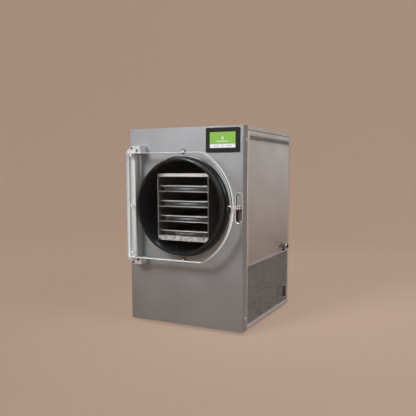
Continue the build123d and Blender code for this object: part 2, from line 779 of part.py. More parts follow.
def power_switch():
    parts = {}
    pivot_x = half_width - 2.0
    place = Pos(switch_y, switch_z)
    house = [size - slip for size in switch_house()]
    body = upright(place * RectangleRounded(*switch_bezel, 2.0), half_width, half_width + switch_proud)
    body = chamfer(body.faces().sort_by(Axis.X)[-1].edges(), 0.6)
    body += upright(place * Rectangle(*house), half_width - switch_depth, half_width)
    well = [size + 2 * rocker_gap for size in rocker_size]
    body -= upright(place * Rectangle(*well), half_width - 14.0, half_width + switch_proud + 1)
    pin_y = switch_y - rocker_size[0] / 2 - 1.3, switch_y + rocker_size[0] / 2 + 1.3
    body -= rod_y(rocker_pin_radius + running_gap, pivot_x, pin_y, switch_z)
    for z in (-10.0, 0.0, 10.0):
        tab_x = (half_width - switch_depth - 8.0, half_width - switch_depth)
        body += block(tab_x, (switch_y - 3.0, switch_y + 3.0), (switch_z + z - 0.4, switch_z + z + 0.4))
    parts["switch_body"] = body

    half = rocker_size[1] / 2 - 0.4
    points = [(4.6, half), (2.6, 0), (4.6, -half), (-3.0, -half + 1.5), (-9.0, -9.0), (-9.0, 9.0),
              (-3.0, half - 1.5)]
    outline = make_face(Polyline(*points, close=True))
    rocker = extrude(Plane.XZ.offset(-rocker_size[0] / 2) * outline, amount=rocker_size[0])
    rocker += rod_y(rocker_pin_radius, 0, (-rocker_size[0] / 2 - 1.0, rocker_size[0] / 2 + 1.0), 0)
    parts["switch_rocker"] = Pos(pivot_x, switch_y, switch_z) * Rot(0, rocker_tilt, 0) * rocker
    return parts


# ---------------------------------------------------------------- refrigeration
def refrigeration():
    parts = {}
    base = pan_top + mount_height
    foot_x = 88.0
    foot_y = 52.0
    body = rod_z(compressor_radius, compressor_x, compressor_y, (base, base + compressor_height))
    body = fillet(body.edges().filter_by(GeomType.CIRCLE).sort_by(Axis.Z)[-1], 42.0)
    body = fillet(body.edges().filter_by(GeomType.CIRCLE).sort_by(Axis.Z)[0], 30.0)
    middle = base + compressor_height * 0.55
    body += rod_z(compressor_radius + 3.5, compressor_x, compressor_y, (middle, middle + 5.0))
    skid = Pos(compressor_x, compressor_y) * RectangleRounded(2 * foot_x + 24, 2 * foot_y + 24, 10.0)
    body += extrude(Plane.XY.offset(base) * skid, amount=3.0)
    for x in (-1, 1):
        for y in (-1, 1):
            body -= rod_z(6.0, compressor_x + x * foot_x, compressor_y + y * foot_y, (base - 1, base + 4))
    terminal_y = (compressor_y - compressor_radius - 18.0, compressor_y - compressor_radius + 12.0)
    body += block((compressor_x - 22, compressor_x + 22), terminal_y, (base + 40.0, base + 90.0))
    parts["compressor"] = body

    grommets = []
    for x in (-1, 1):
        for y in (-1, 1):
            spot = (compressor_x + x * foot_x, compressor_y + y * foot_y)
            rubber = rod_z(11.0, *spot, (pan_top, base)) + rod_z(5.8, *spot, (base, base + 3.0))
            grommets.append(rubber + rod_z(9.0, *spot, (base + 3.0, base + 6.0)))
    parts["compressor_mounts"] = group(*grommets)

    parts.update(condenser())
    parts.update(fan())
    parts.update(lines())
    return parts


def tube_levels():
    """Heights of the condenser's straight tube runs."""
    low, high = condenser_z
    step = (high - low) / tube_runs
    return [low + step * (run + 0.5) for run in range(tube_runs)]


def condenser():
    parts = {}
    y0, y1 = condenser_y
    step = (y1 - y0) / (fin_count - 1)
    half = condenser_thickness / 2
    holes = [rod_y(tube_radius + 0.1, condenser_x, (y0 - 5, y1 + 5), z) for z in tube_levels()]
    fins = []
    for index in range(fin_count):
        y = y0 + index * step
        fin = block((condenser_x - half, condenser_x + half), (y - fin_sheet / 2, y + fin_sheet / 2),
                    (pan_top if index in (0, fin_count - 1) else condenser_z[0], condenser_z[1]))
        for hole in holes:
            fin -= hole
        fins.append(fin)
    parts["condenser_fins"] = group(*fins)

    levels = tube_levels()
    bend = (levels[1] - levels[0]) / 2 - 0.5
    points = []
    for index, z in enumerate(levels):
        ends = (y0 - tube_overhang, y1 + tube_overhang)
        if index % 2:
            ends = ends[::-1]
        points += [(condenser_x, ends[0], z), (condenser_x, ends[1], z)]
    parts["condenser_tube"] = pipe(tube_radius, points, bend)
    return parts


def fan_outline(x0, x1):
    """One twisted blade as a loft between a narrow root and a wide tip."""
    root = Plane((0, 0, 18.0), x_dir=(0, 1, 0), z_dir=(0, 0, 1)) * Rot(0, 0, 32) * Rectangle(24.0, 2.0)
    tip = Plane((0, 0, fan_radius), x_dir=(0, 1, 0), z_dir=(0, 0, 1)) * Rot(0, 0, 14) * Rectangle(46.0, 1.6)
    blade = loft([root, tip])
    return Pos((x0 + x1) / 2, 0, 0) * blade


def fan():
    parts = {}
    half = 100.0
    wall = 1.2
    opening = fan_radius + 4.0
    plate = upright(Pos(fan_y, fan_z) * Rectangle(2 * half, 2 * half), shroud_x, shroud_x + wall)
    plate += rod_x(opening + wall, (shroud_x, shroud_end), fan_y, fan_z)
    plate -= rod_x(opening, (shroud_x - 1, shroud_end + 1), fan_y, fan_z)
    foot = (shroud_x, shroud_x + flange)
    plate += block(foot, (fan_y - half, fan_y + half), (pan_top, pan_top + wall))
    plate += block((shroud_x, shroud_x + wall), (fan_y - half, fan_y + half), (pan_top, fan_z - half + 1))
    parts["fan_shroud"] = plate

    arm_x = (shroud_end, shroud_end + 2.5)
    motor_x = (arm_x[1], arm_x[1] + motor_length)
    motor = rod_x(motor_radius, motor_x, fan_y, fan_z)
    motor = fillet(motor.edges().filter_by(GeomType.CIRCLE).sort_by(Axis.X)[-1], 6.0)
    for turn in (0, 90):
        spoke = block(arm_x, (-opening - wall, opening + wall), (-5, 5))
        motor += Pos(0, fan_y, fan_z) * Rot(turn, 0, 0) * spoke
    motor -= rod_x(shaft_radius + running_gap, (arm_x[0] - 1, motor_x[0] + 20.0), fan_y, fan_z)
    parts["fan_motor"] = motor

    hub_x = (shroud_x + 5.0, shroud_end - 3.0)
    blades = rod_x(21.0, hub_x, 0, 0)
    for index in range(fan_blades):
        blades += Rot(index * 360.0 / fan_blades, 0, 0) * fan_outline(*hub_x)
    blades += rod_x(shaft_radius, (hub_x[1] - 1, motor_x[0] + 19.0), 0, 0)
    parts["fan_blade"] = Pos(0, fan_y, fan_z) * blades
    return parts


def lines():
    """The filter drier and the copper lines between compressor, condenser and evaporator."""
    parts = {}
    drier_x, drier_y = -60.0, 120.0
    drier_z = (70.0, 165.0)
    drier = rod_z(13.0, drier_x, drier_y, drier_z)
    drier = fillet(drier.edges().filter_by(GeomType.CIRCLE), 6.0)
    drier += rod_z(4.5, drier_x, drier_y, (drier_z[0] - 8, drier_z[1] + 8))
    parts["filter_drier"] = drier

    levels = tube_levels()
    y0, y1 = condenser_y
    compressor_top = pan_top + mount_height + compressor_height
    line_x, line_y, line_z = compressor_x - 30.0, compressor_y + 20.0, compressor_top + 32.0
    behind = y1 + tube_overhang + 10.0
    discharge = pipe(line_radius, [
        (line_x, line_y, compressor_top),
        (line_x, line_y, line_z),
        (line_x, behind, line_z),
        (condenser_x, behind, line_z),
        (condenser_x, behind, levels[-1]),
        (condenser_x, y1 + tube_overhang, levels[-1]),
    ], line_bend)
    before = y0 - tube_overhang - 20.0
    liquid = pipe(line_radius, [
        (condenser_x, y0 - tube_overhang, levels[0]),
        (condenser_x, before, levels[0]),
        (drier_x, before, levels[0]),
        (drier_x, drier_y, levels[0]),
        (drier_x, drier_y, drier_z[0] - 8.0),
    ], line_bend)
    parts["refrigerant_lines"] = group(discharge, liquid)
    return parts


# ---------------------------------------------------------------- rear and control
def electrics():
    parts = {}
    place = Pos(inlet_x, inlet_z)
    back = cabinet_depth
    inlet = slab(place * RectangleRounded(*inlet_flange, 4.0), back, back + inlet_proud)
    inlet += slab(place * Rectangle(*inlet_body), back - 26.0, back)
    inlet -= slab(place * RectangleRounded(25.0, 17.0, 3.0), back - 18.0, back + 3.0)
    for x in (-7.0, 0.0, 7.0):
        z = inlet_z + (2.5 if x == 0 else -2.5)
        inlet += block((inlet_x + x - 1, inlet_x + x + 1), (back - 19.0, back - 4.0), (z - 2, z + 2))
    parts["power_inlet"] = inlet

    stand = 10.0
    board_y = back - sheet - stand - board_thickness
    board_x = (-195.0, 20.0)
    board_top = (chamber_z + insulation_outer + 8.0, cabinet_height - lid_flange - 8.0)
    board = block(board_x, (board_y, board_y + board_thickness), board_top)
    for x in (board_x[0] + 7.0, board_x[1] - 7.0):
        for z in (board_top[0] + 7.0, board_top[1] - 7.0):
            board += rod_y(3.0, x, (board_y + board_thickness, back - sheet), z)
    for x, tall in ((-170.0, 22.0), (-120.0, 14.0), (-40.0, 18.0)):
        board += block((x, x + 32.0), (board_y - tall, board_y), (board_top[0] + 12, board_top[1] - 14))
    parts["control_board"] = board
    return parts


# ---------------------------------------------------------------- write
def main():
    parts = {}
    for make in (cabinet, display, hinge, door, latch, chamber, rack, trays, side_fittings,
                 power_switch, refrigeration, electrics):
        parts.update(make())
    os.makedirs("parts", exist_ok=True)
    for name, shape in parts.items():
        placed = Pos(-middle_x, -middle_y, foot_height) * shape
        export_step(placed, "parts/%s.step" % name)
    print(len(parts), "nodes; row frame shift", -middle_x, -middle_y, foot_height)


if __name__ == "__main__":
    main()
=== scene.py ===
"""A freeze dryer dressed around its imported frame: finishes, vented sides, door, trays and
screen."""

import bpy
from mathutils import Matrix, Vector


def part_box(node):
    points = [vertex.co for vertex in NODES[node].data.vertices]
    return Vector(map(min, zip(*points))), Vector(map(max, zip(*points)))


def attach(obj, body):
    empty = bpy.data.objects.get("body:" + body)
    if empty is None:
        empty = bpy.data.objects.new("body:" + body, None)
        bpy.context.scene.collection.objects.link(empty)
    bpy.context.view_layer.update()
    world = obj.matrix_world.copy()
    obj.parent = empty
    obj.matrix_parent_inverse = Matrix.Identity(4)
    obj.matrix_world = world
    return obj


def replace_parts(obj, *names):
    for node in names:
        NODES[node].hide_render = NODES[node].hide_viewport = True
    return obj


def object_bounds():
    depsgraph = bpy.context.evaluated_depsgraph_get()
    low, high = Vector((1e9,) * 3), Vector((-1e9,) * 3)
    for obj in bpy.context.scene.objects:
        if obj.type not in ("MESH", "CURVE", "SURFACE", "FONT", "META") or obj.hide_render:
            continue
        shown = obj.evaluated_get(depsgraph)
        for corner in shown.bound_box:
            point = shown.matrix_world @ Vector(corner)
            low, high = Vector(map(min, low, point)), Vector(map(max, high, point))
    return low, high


bl_info = {
    "name": "Freeze Dryer Finish",
    "version": (1, 0, 0),
    "blender": (4, 5, 0),
    "location": "View3D > Sidebar > Freeze Dryer",
    "description": "Finishes a freeze dryer frame: steel, vents, clear door, trays and screen",
    "category": "Object",
}

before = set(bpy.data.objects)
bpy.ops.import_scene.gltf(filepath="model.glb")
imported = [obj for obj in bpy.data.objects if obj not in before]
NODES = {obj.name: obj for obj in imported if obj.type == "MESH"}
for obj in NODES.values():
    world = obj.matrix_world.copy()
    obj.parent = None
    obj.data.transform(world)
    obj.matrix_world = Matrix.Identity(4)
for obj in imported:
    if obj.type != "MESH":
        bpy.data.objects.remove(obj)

import math

import bmesh
import bpy
import numpy as np
from bpy.props import FloatProperty, FloatVectorProperty, IntProperty, PointerProperty
from mathutils import Vector

CAD_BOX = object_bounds()
MM = 0.001
TAU = 2 * math.pi

PANEL_LOW, PANEL_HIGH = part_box("front_panel")
MIDDLE_X = (PANEL_LOW[0] + PANEL_HIGH[0]) / 2   # the cabinet's middle
FRONT = PANEL_LOW[1]                            # the front panel's face

# The camera, in metres from the foot of the front panel's middle, and in degrees
EYE = (0.9191, -1.6397, 0.5521)
EYE_DOWN, EYE_TURN = 6.595, 26.65

# Places and sizes that the CAD boxes alone don't give, in millimetres
NOTCH = (9.0, 12.0)          # the door's notch: how deep and how tall
CATCH_BELOW = 9.0            # from the catch's lower edge up to the middle of the notch
PANE_CORNER = 3.0            # radius of the pane's left corners
LATCH_X = 212.4              # middle of the latch cup, from the cabinet's middle
CUP = (25.0, 102.0)          # width and height of the cup's opening
CUP_HIGHLIGHT_BANDS = (4, 9)            # first and past-last band of the cup's bead, which carries a painted highlight
CUP_PROFILE = (              # how far inside the opening, and how far behind the panel
    (7.5, 13.8), (4.2, 13.2), (2.0, 11.0), (1.4, 3.0), (1.5, 0.2), (1.2, -1.0), (0.2, -1.9),
    (-1.0, -1.7), (-1.6, 0.05), (0.3, 1.0), (0.3, 15.0), (7.5, 15.0))
SLEEVE_PROFILE = (           # a cap's sleeve: radius, and place behind the panel
    (5.05, -1.5), (9.15, 0.0), (9.15, -1.8), (8.7, -2.4), (5.05, -2.5))
CAP_WIDE = 8.0               # a cabinet screw of more than this radius is a cap
HUB_ASIDE = 2.8              # from the catch's middle to the latch hub's
HUB = (6.2, 3.2)             # outer radius of the hub, and half the width of its slot
HUB_TOP, HUB_TALL = 8.6, 16.0   # its crown above the lever's foot, and its height
HUB_Y, HUB_BEVEL = (-2.2, 0.6), 0.9   # its faces from the lever's front, and its bevel
VENTS = (                    # in from the front and rear edges, and up from the foot or the top
    (7.2, 14.0, 17.5, 228.0), (16.2, 18.0, -34.0, -13.8))
NO_HOLES = (15.0, 26.0)      # the side panel has no holes this near the switch's middle
NO_SHEET = (6.5, 18.0)       # and no sheet this near it
WINDOW_LAP = 0.5             # the plain sheet stops this far from the outermost holes
SEAM_STEP = 0.02             # and lies this much lower than the perforated cells
PORT_BORE = 4.0              # radius of the vacuum port's bore
PORT_FLANGE = (8.0, 10.6, 10.0, 1.6)   # radii of its neck and flange, and the flange's thickness
PORT_SWELL = (7.0, 4.4, 3.2)   # its nipple's radius at the flange, its growth and its loss
PORT_LIP = (3.4, 1.6, 1.9)   # the lip's thickness, its inset and half its width
STUB = (8.0, 4.0, 1.0)       # the drain stub's start below the axis, its radius and its lap
TRAY_LAP = 4.6               # the rolled rim reaches this far past the plain tray on either side
TRAY_CORNER = (9.0, 0.35, 4.0)   # radius of a tray's corners, what each inset takes, and the least
TRAY_WALL = ((24.0, 0.0), (14.2, 0.0), (13.2, 0.5), (12.7, 1.6), (11.4, 5.0), (9.9, 8.8),
             (8.4, 12.4), (7.9, 13.8))         # inset, and height over the tray's foot
TRAY_NECK = ((8.6, -4.6), (7.2, -2.6))         # inset, and height over its top
TRAY_THROAT = ((6.4, 0.0), (7.6, -0.5), (8.3, -2.0))   # inset, and height over its top
TRAY_INSIDE = ((10.4, 10.0), (13.9, 2.2), (14.9, 1.2), (16.5, 0.9), (24.0, 0.9))   # as the wall's
SHEEN_PLACE = ((6.0, 34.0), (8.6, 3.2))   # middle and spread of a tray's painted sheen, a painted highlight, along x and z
SCREEN = (96.0, 53.0)        # width and height of the touch panel
STRIP = 13.0                 # height of the screen's lower strip
FLAKE = (6.0, 6.2, 0.65)     # the flake's middle over the screen's, its arm, and half its width
LAYER = 0.15                 # thickness of each printed layer of the screen

# Streaks for each metre along x, y and z
LEVEL = (90.0, 90.0, 420.0)
EVEN = (400.0, 400.0, 400.0)
ALONG_X = (40.0, 900.0, 900.0)


# ------------------------------------------------------------------ settings
def colour(label, text, default):
    """A plain colour setting."""
    return FloatVectorProperty(name=label, description=text, subtype="COLOR", size=3,
                               min=0.0, max=1.0, default=default)


def length(label, text, millimetres):
    """A length setting, kept in metres."""
    return FloatProperty(name=label, description=text, unit="LENGTH", min=0.0,
                         default=millimetres * MM, precision=5)


def factor(label, text, default, top=1.0):
    """A number without a unit."""
    return FloatProperty(name=label, description=text, min=0.0, max=top, default=default)


class CabinetLooks(bpy.types.PropertyGroup):
    steel: colour("Steel", "Colour of the front panel's brushed steel", (0.308, 0.331, 0.354))
    side: colour("Side", "Colour of the side panels, the lid and the rear", (0.585, 0.605, 0.630))
    roughness: factor("Roughness", "Roughness of the brushed steel", 0.44)
    metal: factor("Metal", "How metallic the cabinet's sheet is", 0.62)
    edge: length("Edge radius", "Softness of folded sheet edges", 0.8)
    hole: length("Hole", "Diameter of a perforation", 6.8)
    pitch: length("Pitch", "Distance between the middles of two perforations", 7.94)
    sheet: length("Sheet", "Thickness of the side panels' sheet", 1.0)
    bend: length("Bend", "Outer radius of the side panels' front fold", 3.0)


class DoorLooks(bpy.types.PropertyGroup):
    tint: colour("Tint", "Colour of the clear door", (0.985, 0.995, 0.99))
    # The door edge's two colours: a painted highlight, and below it a painted shade.
    edge_highlight: colour("Painted highlight edge", "Colour of the door's edge where it gathers light",
                       (0.84, 0.89, 0.92))
    edge_shade: colour("Painted shade edge", "Colour of the door's edge where it stays clear",
                      (0.045, 0.047, 0.046))
    bevel: length("Bevel", "Polished bevel of the clear door", 1.3)
    gap: length("Gap", "Air between the door and its rail", 0.3)
    gasket: colour("Gasket", "Colour of the gasket's rubber", (0.0045, 0.0052, 0.0062))
    steps: IntProperty(name="Steps", description="Points around the door's arc",
                       min=24, max=512, default=160)


class ScreenLooks(bpy.types.PropertyGroup):
    field: colour("Field", "Colour of the screen's main field", (0.235, 0.49, 0.065))
    pale: colour("Pale", "Colour of the screen's lower strip", (0.70, 0.71, 0.70))
    button: colour("Button", "Colour of the screen's two buttons", (0.86, 0.87, 0.86))
    mark: colour("Mark", "Colour of the plain bars on the buttons", (0.13, 0.135, 0.13))
    glow: factor("Glow", "Strength of the screen's light", 0.95, 5.0)
    bezel: colour("Bezel", "Colour of the display's bezel", (0.013, 0.014, 0.015))


class TrayLooks(bpy.types.PropertyGroup):
    # The trays' steel is darkened as painted shade.
    steel: colour("Steel", "Colour of the trays", (0.046, 0.047, 0.048))
    rack: colour("Rack", "Colour of the rack and its shelves", (0.50, 0.51, 0.53))
    # A painted highlight: the colour of the sheen at each tray's middle.
    painted_sheen: colour("Polish", "Colour of a tray's rubbed middle", (0.34, 0.34, 0.34))
    bead: length("Bead", "Radius of the rolled rim of a tray", 2.3)
    bow: length("Bow", "How far a tray's wall bows outwards at its middle", 1.6)
    hem: length("Hem", "Radius of the rack's folded front edges", 1.1)


class StageLooks(bpy.types.PropertyGroup):
    floor: colour("Floor", "Colour of the floor and the background", (0.62, 0.465, 0.37))
    backdrop: colour("Backdrop", "Colour that the floor and the background show",
                     (0.50, 0.352, 0.268))
    own: factor("Own colour", "How much the floor shows the backdrop's colour, not its light", 0.66)
    world: factor("World", "Strength of the soft light from all round", 0.22, 5.0)
    key: factor("Key", "Power of the high front light, in watts", 2.65, 1000.0)
    side: factor("Side", "Power of the light on the right side, in watts", 25.0, 1000.0)
    top: factor("Top", "Power of the light overhead, in watts", 8.0, 1000.0)


class FreezeDryerLooks(bpy.types.PropertyGroup):
    cabinet: PointerProperty(type=CabinetLooks)
    door: PointerProperty(type=DoorLooks)
    screen: PointerProperty(type=ScreenLooks)
    trays: PointerProperty(type=TrayLooks)
    stage: PointerProperty(type=StageLooks)


def looks():
    """The scene's settings."""
    return bpy.context.scene.freeze_dryer


# ------------------------------------------------------------------ surfaces
def mesh_piece(name, points, faces, body, slot, materials, indices=None, merge=0.0, recalc=True,
               crease=32.0):
    """A mesh object from arrays of points and faces, riding on a body. Doubles closer than merge
    are joined, the faces of a closed shell are turned outwards, and edges over crease degrees stay
    sharp."""
    mesh = bpy.data.meshes.new(name)
    mesh.from_pydata(np.asarray(points, float).reshape(-1, 3).tolist(), [], faces)
    for material in materials:
        mesh.materials.append(material)
    if indices is not None:
        mesh.polygons.foreach_set("material_index", np.asarray(indices, np.int32))
    work = bmesh.new()
    work.from_mesh(mesh)
    if merge:
        bmesh.ops.remove_doubles(work, verts=work.verts, dist=merge)
    if recalc:
        bmesh.ops.recalc_face_normals(work, faces=work.faces)
    work.to_mesh(mesh)
    work.free()
    mesh.polygons.foreach_set("use_smooth", np.ones(len(mesh.polygons), bool))
    mesh.set_sharp_from_angle(angle=math.radians(crease))
    mesh.update()
    piece = bpy.data.objects.new(name, mesh)
    bpy.context.scene.collection.objects.link(piece)
    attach(piece, body)
    return piece


class Shell:
    """Collects the points and faces of several shells for one piece."""

    def __init__(self):
        self.points, self.faces, self.indices, self.count = [], [], [], 0

    def add(self, points, faces, index=0):
        """Adds a shell whose faces take one material index."""
        points = np.asarray(points, float).reshape(-1, 3)
        self.points.append(points)
        self.faces.extend([corner + self.count for corner in face] for face in faces)
        self.indices.extend([index] * len(faces))
        self.count += len(points)
        return self

    def piece(self, name, body, slot, materials, **more):
        """The collected shells as one piece."""
        return mesh_piece(name, np.concatenate(self.points), self.faces, body, slot, materials,
                          self.indices, **more)


def ring_faces(rings, steps, closed=False):
    """Quads between neighbouring rings of points, each ring closed on itself. Either the last ring
    meets the first, or both end rings are capped."""
    row = np.arange(rings if closed else rings - 1)[:, None]
    column = np.arange(steps)[None, :]
    after, turn = (row + 1) % rings, (column + 1) % steps
    quads = np.stack([row * steps + column, row * steps + turn,
                      after * steps + turn, after * steps + column], axis=-1)
    faces = quads.reshape(-1, 4).tolist()
    if not closed:
        faces += [list(range(steps))[::-1], list(range((rings - 1) * steps, rings * steps))]
    return faces


def stacked(rings, places, axis, centre=(0.0, 0.0, 0.0)):
    """Flat rings of points, each at its own place along an axis, about a centre."""
    first, second, along = {"X": (1, 2, 0), "Y": (0, 2, 1), "Z": (0, 1, 2)}[axis]
    rings = np.asarray(rings, float)
    points = np.empty((*rings.shape[:2], 3))
    points[..., first], points[..., second] = rings[..., 0], rings[..., 1]
    points[..., along] = np.asarray(places, float)[:, None]
    return points + np.asarray(centre, float)


def unit_circle(steps):
    """Points (cos t, sin t) at equal steps of t."""
    turn = np.arange(steps) * TAU / steps
    return np.stack([np.cos(turn), np.sin(turn)], axis=1)


def lathe(profile, centre, axis, steps):
    """Turns a profile of (radius, place) about an axis: the point at angle t is the centre, plus
    the place along the axis, plus radius times (cos t, sin t) in the plane across it."""
    profile = np.asarray(profile, float)
    return stacked(profile[:, :1, None] * unit_circle(steps), profile[:, 1], axis, centre)


def arc(centre, radius, start, end, steps):
    """Points of a flat arc: centre plus radius times (cos t, sin t) from start to end, in
    degrees."""
    turn = np.radians(np.linspace(start, end, steps))
    return np.stack([centre[0] + radius * np.cos(turn), centre[1] + radius * np.sin(turn)], axis=1)


def rounded_outline(width, height, radius, steps):
    """A rectangle with round corners, anticlockwise from its right side: four quarter arcs whose
    middles lie a radius in from the corners."""
    a, b = width / 2 - radius, height / 2 - radius
    corners = [((a, b), 0), ((-a, b), 90), ((-a, -b), 180), ((a, -b), 270)]
    return np.concatenate([arc(c, radius, start, start + 90, steps) for c, start in corners])


def bowed_rectangle(a, b, radius, bow, side_steps=14, corner_steps=7):
    """A rectangle of half sizes a and b with round corners, anticlockwise from the lower end of its
    right side. Along a side its points stand out by bow times sin(pi s)."""
    s = np.linspace(0, 1, side_steps + 1)[1:-1]
    swell = bow * np.sin(math.pi * s)
    sides = [np.stack([a + swell, (b - radius) * (2 * s - 1)], axis=1),
             np.stack([(a - radius) * (1 - 2 * s), b + swell], axis=1),
             np.stack([-a - swell, (b - radius) * (1 - 2 * s)], axis=1),
             np.stack([(a - radius) * (2 * s - 1), -b - swell], axis=1)]
    corners = np.split(rounded_outline(2 * a, 2 * b, radius, corner_steps), 4)
    return np.concatenate([rows for pair in zip(sides, corners) for rows in pair])


def prism(outline, front, back, bevel=0.0):
    """A flat plate in the XZ plane: its anticlockwise outline at y = front and y = back, set in by
    the bevel at both faces. Inward is square to the line from the point before to the point after.
    Returns points, faces and each face's kind: 0 for a face, 1 for a bevel, 2 for the edge."""
    ahead = np.roll(outline, -1, axis=0) - np.roll(outline, 1, axis=0)
    ahead /= np.linalg.norm(ahead, axis=1)[:, None]
    inner = outline + np.stack([-ahead[:, 1], ahead[:, 0]], axis=1) * bevel
    rows = [(inner, front), (outline, front + bevel), (outline, back - bevel), (inner, back)]
    if not bevel:
        rows = rows[::3]
    steps = len(outline)
    kinds = np.repeat([1, 2, 1] if bevel else [2], steps).tolist() + [0, 0]
    return stacked(*zip(*rows), "Y"), ring_faces(len(rows), steps), kinds


def rod(start, end, radius, steps=12):
    """A round bar between two points whose ends are rounded: near an end the radius follows a
    quarter circle, r times cos u, while the place along the bar follows r times sin u."""
    start, end = np.asarray(start, float), np.asarray(end, float)
    along = (end - start) / np.linalg.norm(end - start)
    side = np.cross(along, (0.0, 0.0, 1.0) if abs(along[2]) < 0.9 else (1.0, 0.0, 0.0))
    side /= np.linalg.norm(side)
    ring = unit_circle(steps) @ np.stack([side, np.cross(along, side)])
    u = np.radians(np.linspace(75, 0, 3))
    near = [(start + along * radius * (1 - math.sin(a)), radius * math.cos(a)) for a in u]
    far = [(end - along * radius * (1 - math.sin(a)), radius * math.cos(a)) for a in u[::-1]]
    points = np.array([centre + ring * r for centre, r in near + far])
    return points, ring_faces(len(points), steps)


def socket_screw(centre, radius, head, long, steps=24):
    """A button-head screw whose head faces -Y: a dome of radius times cos u by head times sin u
    with a hexagonal recess, whose radius at angle t is a cos 30 / cos of t's distance from a flat's
    middle."""
    turn = np.arange(steps) * TAU / steps
    hexagon = math.cos(math.pi / 6) / np.cos((turn + math.pi / 6) % (math.pi / 3) - math.pi / 6)
    recess, shank = 0.46 * hexagon, 0.53
    rings = [(recess * 0.6, head * 0.62), (recess, head * 0.55), (recess, head * 0.06)]
    rings += [(math.cos(a), head * (1 - math.sin(a))) for a in np.radians(np.linspace(62, 4, 6))]
    rings += [(1.0, head), (shank, head), (shank, long)]
    circle = radius * unit_circle(steps)
    shapes = [np.broadcast_to(share, steps)[:, None] * circle for share, _ in rings]
    points = stacked(shapes, [place for _, place in rings], "Y", centre)
    return points, ring_faces(len(rings), steps)


def loose_boxes(name):
    """The lowest and highest corner of every separate solid of a CAD node. Each point takes the
    lowest number among its triangles' points until nothing changes."""
    mesh = NODES[name].data
    spots = np.empty(len(mesh.vertices) * 3, np.float32)
    mesh.vertices.foreach_get("co", spots)
    corners = np.empty(len(mesh.loops), np.int32)
    mesh.loops.foreach_get("vertex_index", corners)
    spots, label = np.unique(np.round(spots.reshape(-1, 3), 5), axis=0, return_inverse=True)
    triangles = label.reshape(-1)[corners].reshape(-1, 3)
    tag = np.arange(len(spots))
    while True:
        fresh = tag.copy()
        np.minimum.at(fresh, triangles.ravel(), np.repeat(tag[triangles].min(axis=1), 3))
        fresh = fresh[fresh]
        if (fresh == tag).all():
            break
        tag = fresh
    solids = (spots[tag == one] for one in np.unique(tag))
    return [(solid.min(axis=0), solid.max(axis=0)) for solid in solids]


# ------------------------------------------------------------------ shader kit
def new_tree(name):
    """An empty node material and its node tree."""
    material = bpy.data.materials.new(name)
    material.use_nodes = True
    tree = material.node_tree
    tree.nodes.clear()
    return material, tree


def node(tree, kind, inputs=None, **settings):
    """A node with its settings and its input values; an input may be another node's socket."""
    made = tree.nodes.new(kind)
    for key, value in settings.items():
        setattr(made, key, value)
    for key, value in (inputs or {}).items():
        socket = made.inputs[key]
        if isinstance(value, bpy.types.NodeSocket):
            tree.links.new(value, socket)
        else:
            socket.default_value = value
    return made


def here(tree):
    """The Object coordinates."""
    return node(tree, "ShaderNodeTexCoord").outputs["Object"]


def maths(tree, operation, first, second):
    """Two numbers joined by an operation."""
    return node(tree, "ShaderNodeMath", {0: first, 1: second}, operation=operation).outputs[0]


def noise(tree, place, scale, detail, roughness=0.5):
    """Clouds from nought to one."""
    return node(tree, "ShaderNodeTexNoise", {"Vector": place, "Scale": scale, "Detail": detail,
                                             "Roughness": roughness}).outputs["Fac"]


def spread(tree, value, low, high, start, end, shape="LINEAR"):
    """A value's range from low to high, laid over start to end."""
    return node(tree, "ShaderNodeMapRange", {"Value": value, 1: low, 2: high, 3: start, 4: end},
                interpolation_type=shape).outputs[0]


def between(tree, share, first, second):
    """A colour between two, by a share."""
    return node(tree, "ShaderNodeMix", {0: share, 6: first, 7: second}, data_type="RGBA").outputs[2]


def shaded(tree, base, gain):
    """A colour times a number."""
    return node(tree, "ShaderNodeVectorMath", {0: base, "Scale": gain},
                operation="SCALE").outputs[0]


def unevenness(tree, value, middle, contrast):
    """One, plus contrast times a value's distance from its middle."""
    centred = maths(tree, "SUBTRACT", value, middle)
    return maths(tree, "ADD", maths(tree, "MULTIPLY", centred, contrast), 1.0)


def show(tree, kind, inputs, output="ShaderNodeOutputMaterial"):
    """A shader with its inputs, joined to the output."""
    node(tree, output, {"Surface": node(tree, kind, inputs).outputs[0]})


def shader_group(name, inputs, wire):
    """A shader node group with named sockets, made once. Its wiring gets the group's tree and its
    input sockets, and gives back its outputs by name."""
    if name in bpy.data.node_groups:
        return bpy.data.node_groups[name]
    tree = bpy.data.node_groups.new(name, "ShaderNodeTree")

    def socket(label, side):
        kind = {"Colour": "Color", "Stretch": "Vector"}.get(label, "Float")
        return tree.interface.new_socket(name=label, in_out=side, socket_type="NodeSocket" + kind)

    for label, value in inputs.items():
        socket(label, "INPUT").default_value = value
    outputs = wire(tree, tree.nodes.new("NodeGroupInput").outputs)
    for label in outputs:
        socket(label, "OUTPUT")
    node(tree, "NodeGroupOutput", outputs)
    return tree


def brushed_group():
    """Fine streaks along one direction, with a slow unevenness over them."""
    def wire(tree, given):
        place = here(tree)
        drawn = node(tree, "ShaderNodeVectorMath", {0: place, 1: given["Stretch"]},
                     operation="MULTIPLY").outputs[0]
        streak = noise(tree, drawn, 1.0, 3.0, 0.6)
        both = maths(tree, "ADD", streak, noise(tree, place, 9.0, 2.0))
        gain = unevenness(tree, both, 1.0, given["Contrast"])
        return {"Colour": shaded(tree, given["Colour"], gain),
                "Roughness": maths(tree, "MULTIPLY", given["Roughness"], gain), "Height": streak}

    return shader_group("Brushed Streaks", {"Colour": (0.5, 0.5, 0.5, 1), "Stretch": (1, 1, 1),
                                            "Roughness": 0.4, "Contrast": 0.1}, wire)


